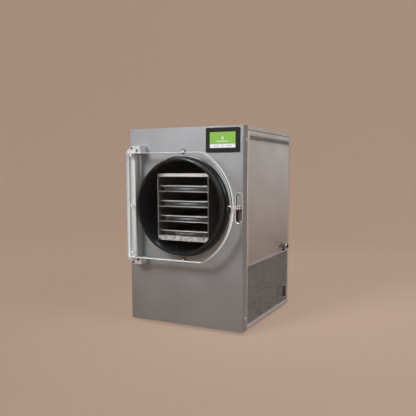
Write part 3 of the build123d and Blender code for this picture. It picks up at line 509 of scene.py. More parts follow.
def grain_group():
    """A fine cast or moulded grain, with faint dust in its hollows."""
    def wire(tree, given):
        place = here(tree)
        grain = node(tree, "ShaderNodeTexVoronoi", {"Vector": place, "Scale": given["Scale"]},
                     feature="SMOOTH_F1").outputs["Distance"]
        cloud = noise(tree, place, 14.0, 5.0, 0.65)
        dust = maths(tree, "MULTIPLY", cloud, given["Dust"])
        lift = maths(tree, "ADD", maths(tree, "MULTIPLY", cloud, 0.35), 0.82)
        return {"Colour": between(tree, dust, given["Colour"], (0.55, 0.53, 0.50, 1)),
                "Roughness": maths(tree, "MULTIPLY", given["Roughness"], lift), "Height": grain}

    return shader_group("Moulded Grain", {"Colour": (0.1, 0.1, 0.1, 1), "Scale": 900.0,
                                          "Dust": 0.05, "Roughness": 0.5}, wire)


def mottle_group():
    """Cloudy patches, as on rolled or frosted sheet."""
    def wire(tree, given):
        patch = noise(tree, here(tree), given["Scale"], 5.0, 0.7)
        gain = unevenness(tree, patch, 0.5, given["Contrast"])
        return {"Colour": shaded(tree, given["Colour"], gain), "Height": patch}

    return shader_group("Mottle", {"Colour": (0.5, 0.5, 0.5, 1), "Scale": 160.0,
                                   "Contrast": 0.3}, wire)


def grained(tree, group, values, edge, bump, depth=0.2, rough=None, **plain):
    """The Principled shader with the colour, roughness and height of a group at some values, over
    edges that are softened by a radius. A rough of four numbers takes the roughness from the height
    instead. Plain values go to the shader's own sockets."""
    grain = node(tree, "ShaderNodeGroup", values, node_tree=group)
    height = grain.outputs["Height"]
    soft = node(tree, "ShaderNodeBevel", {"Radius": edge}, samples=4).outputs["Normal"]
    normal = node(tree, "ShaderNodeBump", {"Height": height, "Strength": bump,
                                           "Distance": depth * MM, "Normal": soft}).outputs[0]
    roughness = spread(tree, height, *rough) if rough else grain.outputs["Roughness"]
    plain = {key.replace("_", " "): value for key, value in plain.items()}
    show(tree, "ShaderNodeBsdfPrincipled", {"Base Color": grain.outputs["Colour"],
                                            "Roughness": roughness, "Normal": normal, **plain})


def sheet_metal(name, base, roughness, metal, stretch, contrast=0.12, edge=0.8 * MM, bump=0.04):
    """Brushed or rolled sheet: streaks in colour and roughness, with soft folded edges."""
    material, tree = new_tree(name)
    grained(tree, brushed_group(), {"Colour": (*base, 1), "Stretch": stretch,
                                    "Roughness": roughness, "Contrast": contrast},
            edge, bump, Metallic=metal)
    return material


def moulded(name, base, roughness, scale=1400.0, dust=0.04, bump=0.06, edge=0.4 * MM, **plain):
    """Rubber, plastic or paint with a fine grain and a trace of dust."""
    material, tree = new_tree(name)
    grained(tree, grain_group(), {"Colour": (*base, 1), "Scale": scale, "Dust": dust,
                                  "Roughness": roughness}, edge, bump, **plain)
    return material


def mottled_metal(name, base, roughness, metal, scale=160.0, contrast=1.2, edge=0.5 * MM,
                  bump=0.25):
    """Worn sheet with cloudy bright and dull patches."""
    material, tree = new_tree(name)
    grained(tree, mottle_group(), {"Colour": (*base, 1), "Scale": scale, "Contrast": contrast},
            edge, bump, 0.3, (0.3, 0.7, roughness * 0.7, roughness * 1.3), Metallic=metal)
    return material


def steel_with_sheen(name, dull, bright):
    """Dark steel with a painted highlight, brighter where the piece's sheen attribute is high."""
    material, tree = new_tree(name)
    highlighted = node(tree, "ShaderNodeAttribute", attribute_name="painted_sheen").outputs["Fac"]
    grained(tree, brushed_group(), {"Colour": between(tree, highlighted, (*dull, 1), (*bright, 1)),
                                    "Stretch": ALONG_X, "Roughness": 0.34, "Contrast": 0.25},
            0.5 * MM, 0.05, Metallic=0.8)
    return material


def clear_acrylic(name, tint):
    """Clear cast acrylic. Light passes straight through it to what it covers."""
    material, tree = new_tree(name)
    smear = noise(tree, here(tree), 30.0, 4.0)
    shader = node(tree, "ShaderNodeBsdfPrincipled", {
        "Base Color": (*tint, 1), "Roughness": maths(tree, "MULTIPLY", smear, 0.02),
        "Transmission Weight": 1.0, "IOR": 1.14})
    through = node(tree, "ShaderNodeBsdfTransparent", {"Color": (*tint, 1)})
    path = node(tree, "ShaderNodeLightPath").outputs
    looked_at = maths(tree, "MAXIMUM", path["Is Camera Ray"], path["Is Transmission Ray"])
    show(tree, "ShaderNodeMixShader", {0: looked_at, 1: through.outputs[0], 2: shader.outputs[0]})
    return material


def seen_directly(tree):
    """One where the eye sees a place itself, in metal or through glass, and nought for its
    light."""
    path = node(tree, "ShaderNodeLightPath").outputs
    metal = maths(tree, "MAXIMUM", path["Is Camera Ray"], path["Is Glossy Ray"])
    return maths(tree, "MAXIMUM", metal, path["Is Transmission Ray"])


def painted_highlight_edge(name, light, dark, front, back, bright_below, left):
    """The sawn and flamed edge of a clear sheet, with a painted highlight that also glows: bright
    where the real edge caught light, which is all of it below a height and at its left end, and
    its back half above; the rest is a dark painted shade."""
    material, tree = new_tree(name)
    place = here(tree)
    x, y, z = node(tree, "ShaderNodeSeparateXYZ", {0: place}).outputs

    def through(*shares):   # places at shares of the sheet's depth
        return [front + share * (back - front) for share in shares]

    # Painted highlight masks: the back half, the part below a height, and the left end.
    back_highlight = spread(tree, y, *through(0.42, 0.62), 0.0, 1.0, "SMOOTHSTEP")
    low = spread(tree, z, bright_below + 24 * MM, bright_below - 12 * MM, 0.0, 1.0, "SMOOTHSTEP")
    streak = noise(tree, place, 55.0, 4.0)
    uneven = spread(tree, streak, 0.3, 0.7, 0.80, 1.0)
    back_highlight_share = spread(tree, y, *through(0.25, 0.45), 0.45, 1.0)
    near = spread(tree, x, left + 6 * MM, left + 16 * MM, 0.72, 0.0)
    low = maths(tree, "MAXIMUM", maths(tree, "MULTIPLY", low, back_highlight_share), near)
    highlight_mask = maths(tree, "MULTIPLY", maths(tree, "MAXIMUM", back_highlight, low), uneven)
    shade = between(tree, highlight_mask, (*dark, 1), (*light, 1))
    # The emission makes the painted highlight glow though the edge is no lamp.
    show(tree, "ShaderNodeBsdfPrincipled", {
        "Base Color": shade, "Roughness": spread(tree, streak, 0.0, 1.0, 0.22, 0.5),
        "Emission Color": shade, "Emission Strength": 0.36})
    return material


def glowing(name, base, strength):
    """A lit field of the screen, slightly uneven."""
    material, tree = new_tree(name)
    dim = maths(tree, "MULTIPLY", noise(tree, here(tree), 25.0, 1.0), 0.10)
    show(tree, "ShaderNodeBsdfPrincipled", {
        "Base Color": (0.02, 0.02, 0.02, 1), "Roughness": 0.25, "Emission Strength": strength,
        "Emission Color": shaded(tree, base, maths(tree, "SUBTRACT", 1.05, dim))})
    return material


def dress(material, *names):
    """Gives CAD nodes a finish."""
    for name in names:
        slots = NODES[name].data.materials
        slots.clear()
        slots.append(material)


# ------------------------------------------------------------------ operators
class FD_OT_stage(bpy.types.Operator):
    """Floor, soft light and camera"""
    bl_idname = "freeze_dryer.stage"
    bl_label = "Stage"

    def execute(self, context):
        settings = looks().stage
        low, high = Vector(CAD_BOX[0]), Vector(CAD_BOX[1])
        self.camera(context)
        self.floor(settings)
        self.world(context, settings)
        middle = (low + high) / 2
        upper_left = Vector((middle[0] - 0.09, low[1], high[2] - 0.05))
        self.lamp("key_light", settings.key, 0.9, (-0.55, -1.50, 1.50), upper_left, 38.0)
        self.lamp("side_light", settings.side, 1.4, (2.1, -0.45, 1.95), middle)
        self.lamp("top_light", settings.top, 1.8, (0.2, 0.1, 2.6), middle)
        return {"FINISHED"}

    @staticmethod
    def camera(context):
        """A camera in front and to the right, a little above the door's middle."""
        lens = bpy.data.cameras.new("camera")
        eye = bpy.data.objects.new("camera", lens)
        lens.sensor_width = 36.0
        lens.lens = 45.93
        lens.shift_y = 0.0604
        lens.clip_end = 50.0
        eye.location = (MIDDLE_X + EYE[0], FRONT + EYE[1], PANEL_LOW[2] + EYE[2])
        eye.rotation_euler = (math.radians(90.0 - EYE_DOWN), 0.0, math.radians(EYE_TURN))
        context.scene.collection.objects.link(eye)
        context.scene.camera = eye

    @staticmethod
    def floor(settings):
        """A pale floor that curves up into a backdrop: height is a quarter circle, then
        straight."""
        radius, behind, reach, tall = 2.0, 2.6, 9.0, 8.0
        bend = arc((behind, radius), radius, -90, 0, 24)
        profile = np.concatenate([[(-reach, 0.0)], bend, [(behind + radius, tall)]])
        points = np.empty((len(profile), 2, 3))
        points[..., 0], points[..., 1:] = (-reach, reach), profile[:, None]
        faces = [[2 * i, 2 * i + 1, 2 * i + 3, 2 * i + 2] for i in range(len(profile) - 1)]
        mesh = bpy.data.meshes.new("floor")
        mesh.from_pydata(points.reshape(-1, 3).tolist(), [], faces)
        mesh.polygons.foreach_set("use_smooth", np.ones(len(faces), bool))
        floor = bpy.data.objects.new("floor", mesh)
        bpy.context.scene.collection.objects.link(floor)
        material, tree = new_tree("Pale Floor")
        rough = spread(tree, noise(tree, here(tree), 2.0, 4.0), 0.0, 1.0, 0.75, 0.9)
        lit = node(tree, "ShaderNodeBsdfPrincipled", {
            "Base Color": (*settings.floor, 1), "Roughness": rough, "Specular IOR Level": 0.2})
        own = node(tree, "ShaderNodeEmission", {"Color": (*settings.backdrop, 1)})
        share = maths(tree, "MULTIPLY", seen_directly(tree), settings.own)
        show(tree, "ShaderNodeMixShader", {0: share, 1: lit.outputs[0], 2: own.outputs[0]})
        mesh.materials.append(material)

    @staticmethod
    def world(context, settings):
        """Soft light from all round, and the backdrop's colour where the world itself is seen."""
        world = bpy.data.worlds.new("studio")
        world.use_nodes = True
        context.scene.world = world
        tree = world.node_tree
        tree.nodes.clear()

        def glow(shade, strength):
            return node(tree, "ShaderNodeBackground", {"Color": (*shade, 1),
                                                       "Strength": strength}).outputs[0]

        show(tree, "ShaderNodeMixShader", {
            0: seen_directly(tree), 1: glow((1.0, 0.95, 0.91), settings.world),
            2: glow(settings.backdrop, 1.0)}, "ShaderNodeOutputWorld")

    @staticmethod
    def lamp(name, power, size, place, target, cone=180.0):
        """A square lamp, its power in watts and its side in metres, turned to its target. Its light
        leaves it within a cone of some degrees."""
        light = bpy.data.lights.new(name, "AREA")
        light.size, light.energy, light.spread = size, power, math.radians(cone)
        lamp = bpy.data.objects.new(name, light)
        lamp.location = place
        lamp.rotation_euler = (Vector(target) - Vector(place)).to_track_quat("-Z", "Y").to_euler()
        bpy.context.scene.collection.objects.link(lamp)


class FD_OT_cabinet(bpy.types.Operator):
    """Steel sheet, perforated side panels, latch cup and hub, vacuum port, fasteners and feet"""
    bl_idname = "freeze_dryer.cabinet"
    bl_label = "Cabinet"

    def execute(self, context):
        settings = looks().cabinet
        rough, metal, edge = settings.roughness, settings.metal, settings.edge
        dress(sheet_metal("Front Steel", settings.steel, rough, metal, LEVEL, 0.26, edge),
              "front_panel", "latch_lever")
        # The cup's dark inside is painted shade; its bright bead is a painted highlight.
        self.cup([sheet_metal("Pressed Cup Painted Shade", (0.11, 0.115, 0.12), 0.38, 0.6, LEVEL, 0.15),
                  sheet_metal("Cup Bead Painted Highlight", (0.93, 0.94, 0.96), 0.22, 0.5, LEVEL, 0.1)])
        side = sheet_metal("Side Steel", settings.side, rough + 0.08, metal * 0.6,
                           (420.0, 90.0, 420.0), 0.20, edge)
        dress(side, "top_cover", "rear_panel")
        # Painted shade: the hole walls and the sheet's inner face are coloured near black.
        painted_shade = moulded("Cut Edge Painted Shade", (0.022, 0.022, 0.022), 0.6, 500.0, 0.02)
        self.side_panel("side_panel_right", "perforated_right", settings, [side, painted_shade], 1)
        self.side_panel("side_panel_left", "perforated_left", settings, [side, painted_shade], -1)
        dress(mottled_metal("Galvanised Sheet", (0.50, 0.51, 0.52), 0.45, 0.8),
              "base_pan", "chamber_cradles", "fan_shroud")
        bright = sheet_metal("Bright Steel", (0.92, 0.94, 0.97), 0.30, 0.50, EVEN, 0.12, 0.5 * MM)
        dress(bright, "cabinet_screws", "hinge_pins", "latch_pin", "door_catch", "door_striker",
              "vacuum_port_nut")
        dark = sheet_metal("Dark Screw", (0.10, 0.10, 0.10), 0.35, 0.8, EVEN, 0.1)
        self.socket_screws("hinge_block_screws", "cabinet", 3.2, dark)
        self.socket_screws("rail_screws", "door", 2.4, bright)
        self.cap_sleeves(moulded("Cap Ring", (0.02, 0.02, 0.02), 0.5, 900.0, 0.02))
        self.hub(bright)
        rubber = moulded("Black Rubber", (0.018, 0.018, 0.019), 0.62, 900.0, 0.05)
        self.port(sheet_metal("Port Steel", (0.40, 0.41, 0.425), 0.20, 0.9, EVEN, 0.12), rubber)
        dress(rubber, "feet", "compressor_mounts")
        dress(moulded("Cap Rubber", (0.006, 0.006, 0.006), 0.7, 900.0, 0.0, Specular_IOR_Level=0.1),
              "drain_cap")
        return {"FINISHED"}

    @staticmethod
    def socket_screws(name, body, head, material):
        """Button heads with a hexagonal recess in place of a CAD node's plain ones."""
        shell = Shell()
        for low, high in loose_boxes(name):
            middle = (low + high) / 2
            shell.add(*socket_screw((middle[0], low[1], middle[2]), (high[0] - low[0]) / 2,
                                    head * MM, high[1] - low[1]))
        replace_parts(shell.piece("socket_" + name, body, "screw_steel", [material]), name)

    @staticmethod
    def side_panel(name, title, settings, materials, side):
        """A perforated panel. A perforation's cell is a hexagon as tall as the pitch: column c has
        its cells' middles at c times pitch times cos 30, and odd columns are half a pitch higher.
        Its face runs from the hexagon, sampled at corners and mid-edges, to the circle of the
        hole."""
        low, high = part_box(name)
        pitch, hole, bend = settings.pitch, settings.hole / 2, settings.bend
        face_x = high[0] if side > 0 else -low[0]
        inner_x = face_x - (high[0] - low[0])
        around = np.arange(12)
        reach = np.where(around % 2, pitch / 2, pitch / math.sqrt(3))
        hexagon, circle = reach[:, None] * unit_circle(12), hole * unit_circle(12)
        after = (around + 1) % 12
        cell = np.stack([around, after, 12 + after, 12 + around], axis=1)
        step = pitch * math.cos(math.pi / 6)
        shell, windows = Shell(), []
        for y0, y1, z0, z1 in vent_areas(low, high):
            columns = int((y1 - y0 - 2 * hole) // step) + 1
            rows = int((z1 - z0 - 2 * hole - pitch / 2) // pitch) + 1
            wide, tall = (columns - 1) * step, (rows - 0.5) * pitch
            start_y, start_z = (y0 + y1 - wide) / 2, (z0 + z1 - tall) / 2
            column, row = np.meshgrid(np.arange(-1, columns + 1), np.arange(-1, rows + 1),
                                      indexing="ij")
            y = start_y + column * step
            z = start_z + (row + column % 2 / 2) * pitch
            pierced = (column >= 0) & (column < columns) & (row >= 0) & (row < rows)
            cut_out = np.zeros_like(pierced)
            if side > 0:
                pierced &= ~near_switch(y, z, NO_HOLES)
                cut_out = near_switch(y, z, NO_SHEET)
            for chosen, outlines, faces in (
                    (pierced, (hexagon, circle), cell),
                    (~pierced & ~cut_out, (hexagon,), around[None])):
                middle = np.stack([y[chosen], z[chosen]], axis=1)[:, None, :]
                flat = np.concatenate(outlines)[None] + middle
                points = np.full((*flat.shape[:2], 3), face_x)
                points[..., 1:] = flat
                first = np.arange(len(flat))[:, None, None] * len(flat[0])
                shell.add(points, (first + faces).reshape(-1, faces.shape[1]).tolist())
            lap = hole + WINDOW_LAP * MM
            windows.append((start_y - lap, start_y + wide + lap,
                            start_z - lap, start_z + tall + lap))
        flat_x = face_x - SEAM_STEP * MM
        shell.add(*windowed_sheet(flat_x, (0, low[1] + bend, low[2]), high, windows))
        fold = np.concatenate([arc((flat_x - bend, low[1] + bend), bend, 0, -90, 7),
                               [(inner_x, low[1])]])
        wall = np.empty((len(fold), 2, 3))
        wall[..., :2], wall[..., 2] = fold[:, None], (low[2], high[2])
        row = 2 * np.arange(len(fold) - 1)[:, None]
        shell.add(wall, (row + [0, 1, 3, 2]).tolist())
        foot = [(flat_x, high[1]), (inner_x, high[1]), (inner_x, low[1]), (flat_x, low[1] + bend)]
        shell.add([(x, y, low[2]) for x, y in foot], [[0, 1, 2, 3]])
        points = np.concatenate(shell.points)
        points[:, 0] *= side
        faces = [face[::side] for face in shell.faces]
        piece = mesh_piece(title, points, faces, "cabinet", "side_steel", materials,
                           merge=0.01 * MM, recalc=False)
        sheet = piece.modifiers.new("Sheet", "SOLIDIFY")
        sheet.thickness, sheet.offset = settings.sheet, -1.0
        # The rim and inner shell take the painted shade material.
        sheet.material_offset = sheet.material_offset_rim = 1
        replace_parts(piece, name)

    @staticmethod
    def cap_sleeves(material):
        """A black sleeve over the washer of either cap at the front, round its head."""
        profile, shell = np.array(SLEEVE_PROFILE) * MM, Shell()
        for low, high in loose_boxes("cabinet_screws"):
            if low[1] < FRONT and high[0] - low[0] > 2 * CAP_WIDE * MM:
                middle = (low + high) / 2
                shell.add(lathe(profile, (middle[0], FRONT, middle[2]), "Y", 40),
                          ring_faces(len(profile), 40, closed=True))
        shell.piece("cap_rings", "cabinet", "rubber_black", [material])

    @staticmethod
    def hub(material):
        """The latch lever's forked hub, whose slot holds the striker's bar: two half circles about
        one middle, on straight legs."""
        low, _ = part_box("latch_lever")
        catch_low, catch_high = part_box("door_catch")
        x = (catch_low[0] + catch_high[0]) / 2 + HUB_ASIDE * MM
        outer, slot = HUB[0] * MM, HUB[1] * MM
        top = low[2] + HUB_TOP * MM
        foot, centre = top - HUB_TALL * MM, (x, top - outer)
        outline = np.concatenate([[(x + outer, foot)], arc(centre, outer, 0, 180, 18),
                                  [(x - outer, foot), (x - slot, foot)],
                                  arc(centre, slot, 180, 0, 12), [(x + slot, foot)]])
        front, back = (low[1] + y * MM for y in HUB_Y)
        points, faces, _ = prism(outline, front, back, HUB_BEVEL * MM)
        mesh_piece("latch_hub", points, faces, "latch", "screw_steel", [material], crease=60.0)

    @staticmethod
    def cup(materials):
        """The latch cup: stadium rings set in by a profile from its floor over a raised bead to its
        back. Its inside is coloured as painted shade and its bead as a painted highlight."""
        low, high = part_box("latch_cup")
        wide, tall = CUP[0] * MM, CUP[1] * MM
        insets, places = np.array(CUP_PROFILE).T * MM
        rings = [rounded_outline(wide - 2 * inset, tall - 2 * inset, wide / 2 - inset, 14)
                 for inset in insets]
        centre = (MIDDLE_X + LATCH_X * MM, FRONT, (low[2] + high[2]) / 2)
        piece = banded_piece("pressed_cup", stacked(rings, places, "Y", centre), {1: CUP_HIGHLIGHT_BANDS},
                             "stainless", materials, 60.0)
        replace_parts(piece, "latch_cup")

    @staticmethod
    def port(material, rubber):
        """The vacuum port: a thin flange at the panel, a turned nipple and a small drain stub under
        it. The nipple swells by sin to the power 1.6 over 0.72 of its reach, and narrows by a
        square from 0.84 of it on."""
        low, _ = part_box("vacuum_port")
        ring_low, ring_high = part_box("vacuum_port_ring")
        cap_low, cap_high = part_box("drain_cap")
        centre = (ring_low + ring_high) / 2
        wall_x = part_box("side_panel_right")[1][0]
        bore = PORT_BORE * MM
        neck, wide, rim, flange = (size * MM for size in PORT_FLANGE)
        least, growth, loss = PORT_SWELL
        lip, inset, half = (size * MM for size in PORT_LIP)
        reach = ring_high[0] - lip - wall_x
        u = np.linspace(0.0, 1.0, 14)
        swell = (least + growth * np.sin(math.pi / 2 * np.minimum(u / 0.72, 1.0)) ** 1.6) * MM
        swell -= loss * MM * np.clip((u - 0.84) / 0.16, 0.0, 1.0) ** 2
        profile = [(bore, low[0] - wall_x), (neck, low[0] - wall_x), (neck, 0.0), (wide, 0.0),
                   (wide, flange * 0.6), (rim, flange), *zip(swell, flange + u * (reach - flange)),
                   (bore, reach)]
        shell = Shell().add(lathe(profile, (wall_x, centre[1], centre[2]), "X", 48),
                            ring_faces(len(profile), 48, closed=True))
        x, z = (cap_low[0] + cap_high[0]) / 2, (cap_low[2] + cap_high[2]) / 2
        below, radius, lap = (size * MM for size in STUB)
        shell.add(*rod((x, centre[1], centre[2] - below), (x, centre[1], z + lap), radius, 16))
        nipple = shell.piece("vacuum_nipple", "cabinet", "port_steel", [material])
        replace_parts(nipple, "vacuum_port")
        profile = unit_circle(16) * (half, lip / 2) + (swell[-1] - inset, lip / 2)
        points = lathe(profile, (wall_x + reach, centre[1], centre[2]), "X", 40)
        ring = mesh_piece("port_lip", points, ring_faces(len(profile), 40, closed=True), "cabinet",
                          "rubber_black", [rubber])
        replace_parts(ring, "vacuum_port_ring")


def banded_piece(name, points, spans, slot, materials, crease):
    """A capped piece of the cabinet from stacked rings, where spans gives some materials their
    first and past-last band."""
    rings, steps = points.shape[:2]
    bands = np.zeros(rings - 1, int)
    for index, (first, past) in spans.items():
        bands[first:past] = index
    kinds = np.concatenate([np.repeat(bands, steps), [0, 0]])
    return mesh_piece(name, points, ring_faces(rings, steps), "cabinet", slot, materials, kinds,
                      crease=crease)


def near_switch(y, z, half):
    """Where places lie within half sizes, in millimetres, of the switch's middle."""
    low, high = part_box("switch_body")
    away_y, away_z = (abs(value - (low[axis] + high[axis]) / 2) for axis, value in ((1, y), (2, z)))
    return (away_y < half[0] * MM) & (away_z < half[1] * MM)


def vent_areas(low, high):
    """The perforated areas of a side panel, as (y0, y1, z0, z1), from its corners."""
    for front, rear, start, end in VENTS:
        z = low[2] if start > 0 else high[2]
        yield low[1] + front * MM, high[1] - rear * MM, z + start * MM, z + end * MM


def windowed_sheet(x, low, high, windows):
    """A flat sheet at x with rectangular windows: a grid through all window edges, without the grid
    fields that lie in a window."""
    ys = np.unique([low[1], high[1]] + [edge for window in windows for edge in window[:2]])
    zs = np.unique([low[2], high[2]] + [edge for window in windows for edge in window[2:]])
    middle_y, middle_z = np.meshgrid((ys[1:] + ys[:-1]) / 2, (zs[1:] + zs[:-1]) / 2, indexing="ij")
    solid = np.ones(middle_y.shape, bool)
    for y0, y1, z0, z1 in windows:
        solid &= ~((middle_y > y0) & (middle_y < y1) & (middle_z > z0) & (middle_z < z1))
    grid_y, grid_z = np.meshgrid(ys, zs, indexing="ij")
    points = np.stack([np.full(grid_y.shape, x), grid_y, grid_z], axis=-1)
    i, j = np.nonzero(solid)
    near, far = i * len(zs) + j, (i + 1) * len(zs) + j
    return points, np.stack([near, far, far + 1, near + 1], axis=1).tolist()


class FD_OT_machinery(bpy.types.Operator):
    """Finishes of the pieces inside the cabinet and of the rear inlet"""
    bl_idname = "freeze_dryer.machinery"
    bl_label = "Machinery"

    def execute(self, context):
        dress(sheet_metal("Copper Tube", (0.72, 0.36, 0.22), 0.3, 1.0, (200.0, 200.0, 200.0), 0.2),
              "evaporator_coil", "condenser_tube", "filter_drier", "refrigerant_lines")
        dress(moulded("Black Paint", (0.02, 0.02, 0.022), 0.28, 500.0, 0.05, 0.12),
              "compressor", "fan_motor")
        dress(moulded("Black Plastic", (0.03, 0.03, 0.032), 0.45),
              "fan_blade", "vacuum_sensor", "power_inlet")
        dress(sheet_metal("Fin Stock", (0.7, 0.7, 0.7), 0.35, 1.0, (20.0, 900.0, 20.0)),
              "condenser_fins")
        dress(moulded("Foam", (0.03, 0.03, 0.033), 0.9, 350.0, 0.02, 0.5), "chamber_insulation")
        dress(moulded("Hose Rubber", (0.06, 0.06, 0.065), 0.45), "vacuum_hose")
        # The heater pads are coloured near black as painted shade inside the chamber.
        dress(moulded("Heater Silicone Painted Shade", (0.026, 0.025, 0.027), 0.6, 700.0, 0.0, 0.3),
              "heater_pads")
        dress(moulded("Circuit Board", (0.02, 0.13, 0.05), 0.35, 260.0, 0.02, 0.3),
              "control_board", "display_board")
        return {"FINISHED"}


class FD_OT_door(bpy.types.Operator):
    """Clear door pane, its rail and hinge blocks, and the finger tab"""
    bl_idname = "freeze_dryer.door"
    bl_label = "Door"

    def execute(self, context):
        self.pane(looks().door)
        dress(sheet_metal("Brushed Rail", (0.60, 0.612, 0.63), 0.62, 0.06,
                          (500.0, 500.0, 14.0), 0.10), "hinge_rail", "hinge_base")
        dress(mottled_metal("Hinge Aluminium", (0.72, 0.76, 0.82), 0.30, 0.45, 34.0, 0.35,
                            0.9 * MM, 0.05), "hinge_block_upper", "hinge_block_lower")
        dress(moulded("Glossy Black", (0.008, 0.009, 0.011), 0.25, 1500.0, 0.0, 0.02,
                      Specular_IOR_Level=0.25), "door_knob", "switch_body", "switch_rocker")
        return {"FINISHED"}

    @staticmethod
    def pane(settings):
        """The pane: an arc about the chamber's axis on the right, straight edges on the other
        sides, and a notch at the latch."""
        low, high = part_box("door_plate")
        centre = (MIDDLE_X, (low[2] + high[2]) / 2)
        radius = high[0] - MIDDLE_X
        deep, tall = (size * MM for size in NOTCH)
        notch_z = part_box("door_catch")[0][2] + CATCH_BELOW * MM
        lower, upper = (math.asin((notch_z + half - centre[1]) / radius)
                        for half in (-tall / 2, tall / 2))
        span = math.asin((high[2] - low[2]) / 2 / radius)
        corner, left = PANE_CORNER * MM, low[0] + PANE_CORNER * MM
        outline = np.concatenate([
            arc(centre, radius, math.degrees(-span), math.degrees(lower), settings.steps // 2),
            [(high[0] - deep, centre[1] + radius * math.sin(angle)) for angle in (lower, upper)],
            arc(centre, radius, math.degrees(upper), math.degrees(span), settings.steps // 2),
            arc((left, high[2] - corner), corner, 90, 180, 6),
            arc((left, low[2] + corner), corner, 180, 270, 6)])
        points, faces, kinds = prism(outline, low[1], high[1] - settings.gap, settings.bevel)
        materials = [
            clear_acrylic("Clear Acrylic", settings.tint),
            # The bevels are coloured near white as a painted highlight line round the pane.
            moulded("Bevel Painted Highlight", (0.82, 0.83, 0.82), 0.25, 700.0, 0.0, 0.02),
            painted_highlight_edge("Acrylic Edge Painted Highlight", settings.edge_highlight, settings.edge_shade, low[1], high[1],
                          notch_z, low[0])]
        piece = mesh_piece("door_pane", points, faces, "door", "acrylic", materials, kinds,
                           crease=20.0)
        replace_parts(piece, "door_plate")


class FD_OT_chamber(bpy.types.Operator):
    """Gasket and chamber"""
    bl_idname = "freeze_dryer.chamber"
    bl_label = "Chamber"

    def execute(self, context):
        dress(moulded("Gasket Rubber", looks().door.gasket, 0.13, 1200.0, 0.0, 0.01,
                      Specular_Tint=(0.80, 0.93, 1.0, 1.0)), "door_gasket")
        # The chamber's steel is coloured near black as painted shade inside the chamber.
        dress(sheet_metal("Chamber Steel Painted Shade", (0.016, 0.022, 0.030), 0.34, 0.3,
                          (60.0, 900.0, 60.0), 0.25), "chamber_shell")
        return {"FINISHED"}


class FD_OT_rack(bpy.types.Operator):
    """Rack, shelves and trays"""
    bl_idname = "freeze_dryer.rack"
    bl_label = "Rack and trays"

    def execute(self, context):
        settings = looks().trays
        lowest, *middle, highest = sorted(name for name in NODES if name.startswith("shelf_"))
        rack = mottled_metal("Rack Steel", settings.rack, 0.34, 0.7, 220.0, 1.3, 0.5 * MM, 0.3)
        dress(rack, "rack_sides", *middle)
        dress(mottled_metal("Rack Lip", (0.56, 0.57, 0.58), 0.30, 0.35, 120.0, 2.9, 0.5 * MM, 1.0),
              lowest)
        dress(sheet_metal("Rack Top", (0.72, 0.73, 0.745), 0.30, 0.35, (16.0, 900.0, 900.0), 0.45),
              highest)
        self.hems(settings.hem, middle, rack)
        # The trays' near-black steel is painted shade for the dark chamber's reflection; the rolled
        # rim is a painted highlight, and the band under it painted shade.
        materials = [steel_with_sheen("Tray Steel Painted Shade", settings.steel, settings.painted_sheen),
                     sheet_metal("Rolled Rim Painted Highlight", (0.34, 0.345, 0.35), 0.30, 0.7, ALONG_X, 0.2),
                     sheet_metal("Tray Painted Shade", (0.05, 0.05, 0.05), 0.5, 0.5, ALONG_X, 0.2)]
        for name in sorted(name for name in NODES if name.startswith("tray_")):
            self.tray(name, settings, materials)
        return {"FINISHED"}

    @staticmethod
    def hems(radius, shelves, material):
        """Folded front edges of the rack's sides and of its middle shelves."""
        low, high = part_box("rack_sides")
        shell = Shell()
        for x in (low[0] + 1 * MM, high[0] - 1 * MM):
            shell.add(*rod((x, low[1], low[2] + 5 * MM), (x, low[1], high[2]), radius))
        for name in shelves:
            shelf_low, shelf_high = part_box(name)
            z = (shelf_low[2] + shelf_high[2]) / 2
            shell.add(*rod((shelf_low[0], low[1], z), (shelf_high[0], low[1], z), radius * 0.8))
        shell.piece("rack_hems", "cabinet", "rack_steel", [material])

    @staticmethod
    def tray(name, settings, materials):
        """A tray: rings that are rectangles with round corners, set in by the profile's first
        number at the height of its second. A wall bows out by bow times sin of pi times its share
        of the height, and by sin of pi times the share along the side; the rim is a bead of three
        quarters of a turn, coloured as a painted highlight over a band of painted shade. Its
        painted sheen, a painted highlight, falls off by exp of minus the square of the distance
        from the sheen's middle."""
        low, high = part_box(name)
        width, long, tall = ((high[axis] - low[axis]) / MM for axis in range(3))
        width += 2 * TRAY_LAP
        bead, bow = settings.bead / MM, settings.bow / MM
        outside = np.concatenate([TRAY_WALL, np.array(TRAY_NECK) + (0.0, tall)])
        rim = arc((bead, tall - bead), bead, -5, -270, 14)
        profile = np.concatenate([outside, rim, np.array(TRAY_THROAT) + (0.0, tall), TRAY_INSIDE])
        corner, taken, least = TRAY_CORNER
        rings = np.array([
            bowed_rectangle(width / 2 - inset, long / 2 - inset, max(corner - inset * taken, least),
                            bow * math.sin(math.pi * min(height / tall, 1.0)))
            for inset, height in profile]) * MM
        middle = (low + high) / 2
        points = stacked(rings, profile[:, 1] * MM, "Z", (middle[0], middle[1], low[2]))
        edge = len(outside)
        # Band 1, the rim, takes the painted highlight; band 2 under it the painted shade.
        piece = banded_piece("pan_" + name, points, {1: (edge - 1, edge + len(rim) + 1),
                                                     2: (edge - 4, edge - 1)},
                             "tray_steel", materials, 50.0)
        # The sheen is a painted highlight, stored as the piece's attribute.
        (sheen_x, wide), (sheen_z, high_spread) = SHEEN_PLACE
        sheen = np.exp(-((rings[..., 0] / MM - sheen_x) / wide) ** 2)
        sheen = sheen * np.exp(-((profile[:, 1][:, None] - sheen_z) / high_spread) ** 2)
        layer = piece.data.attributes.new("painted_sheen", "FLOAT", "POINT")
        layer.data.foreach_set("value", sheen.ravel().astype(np.float32))
        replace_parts(piece, name)


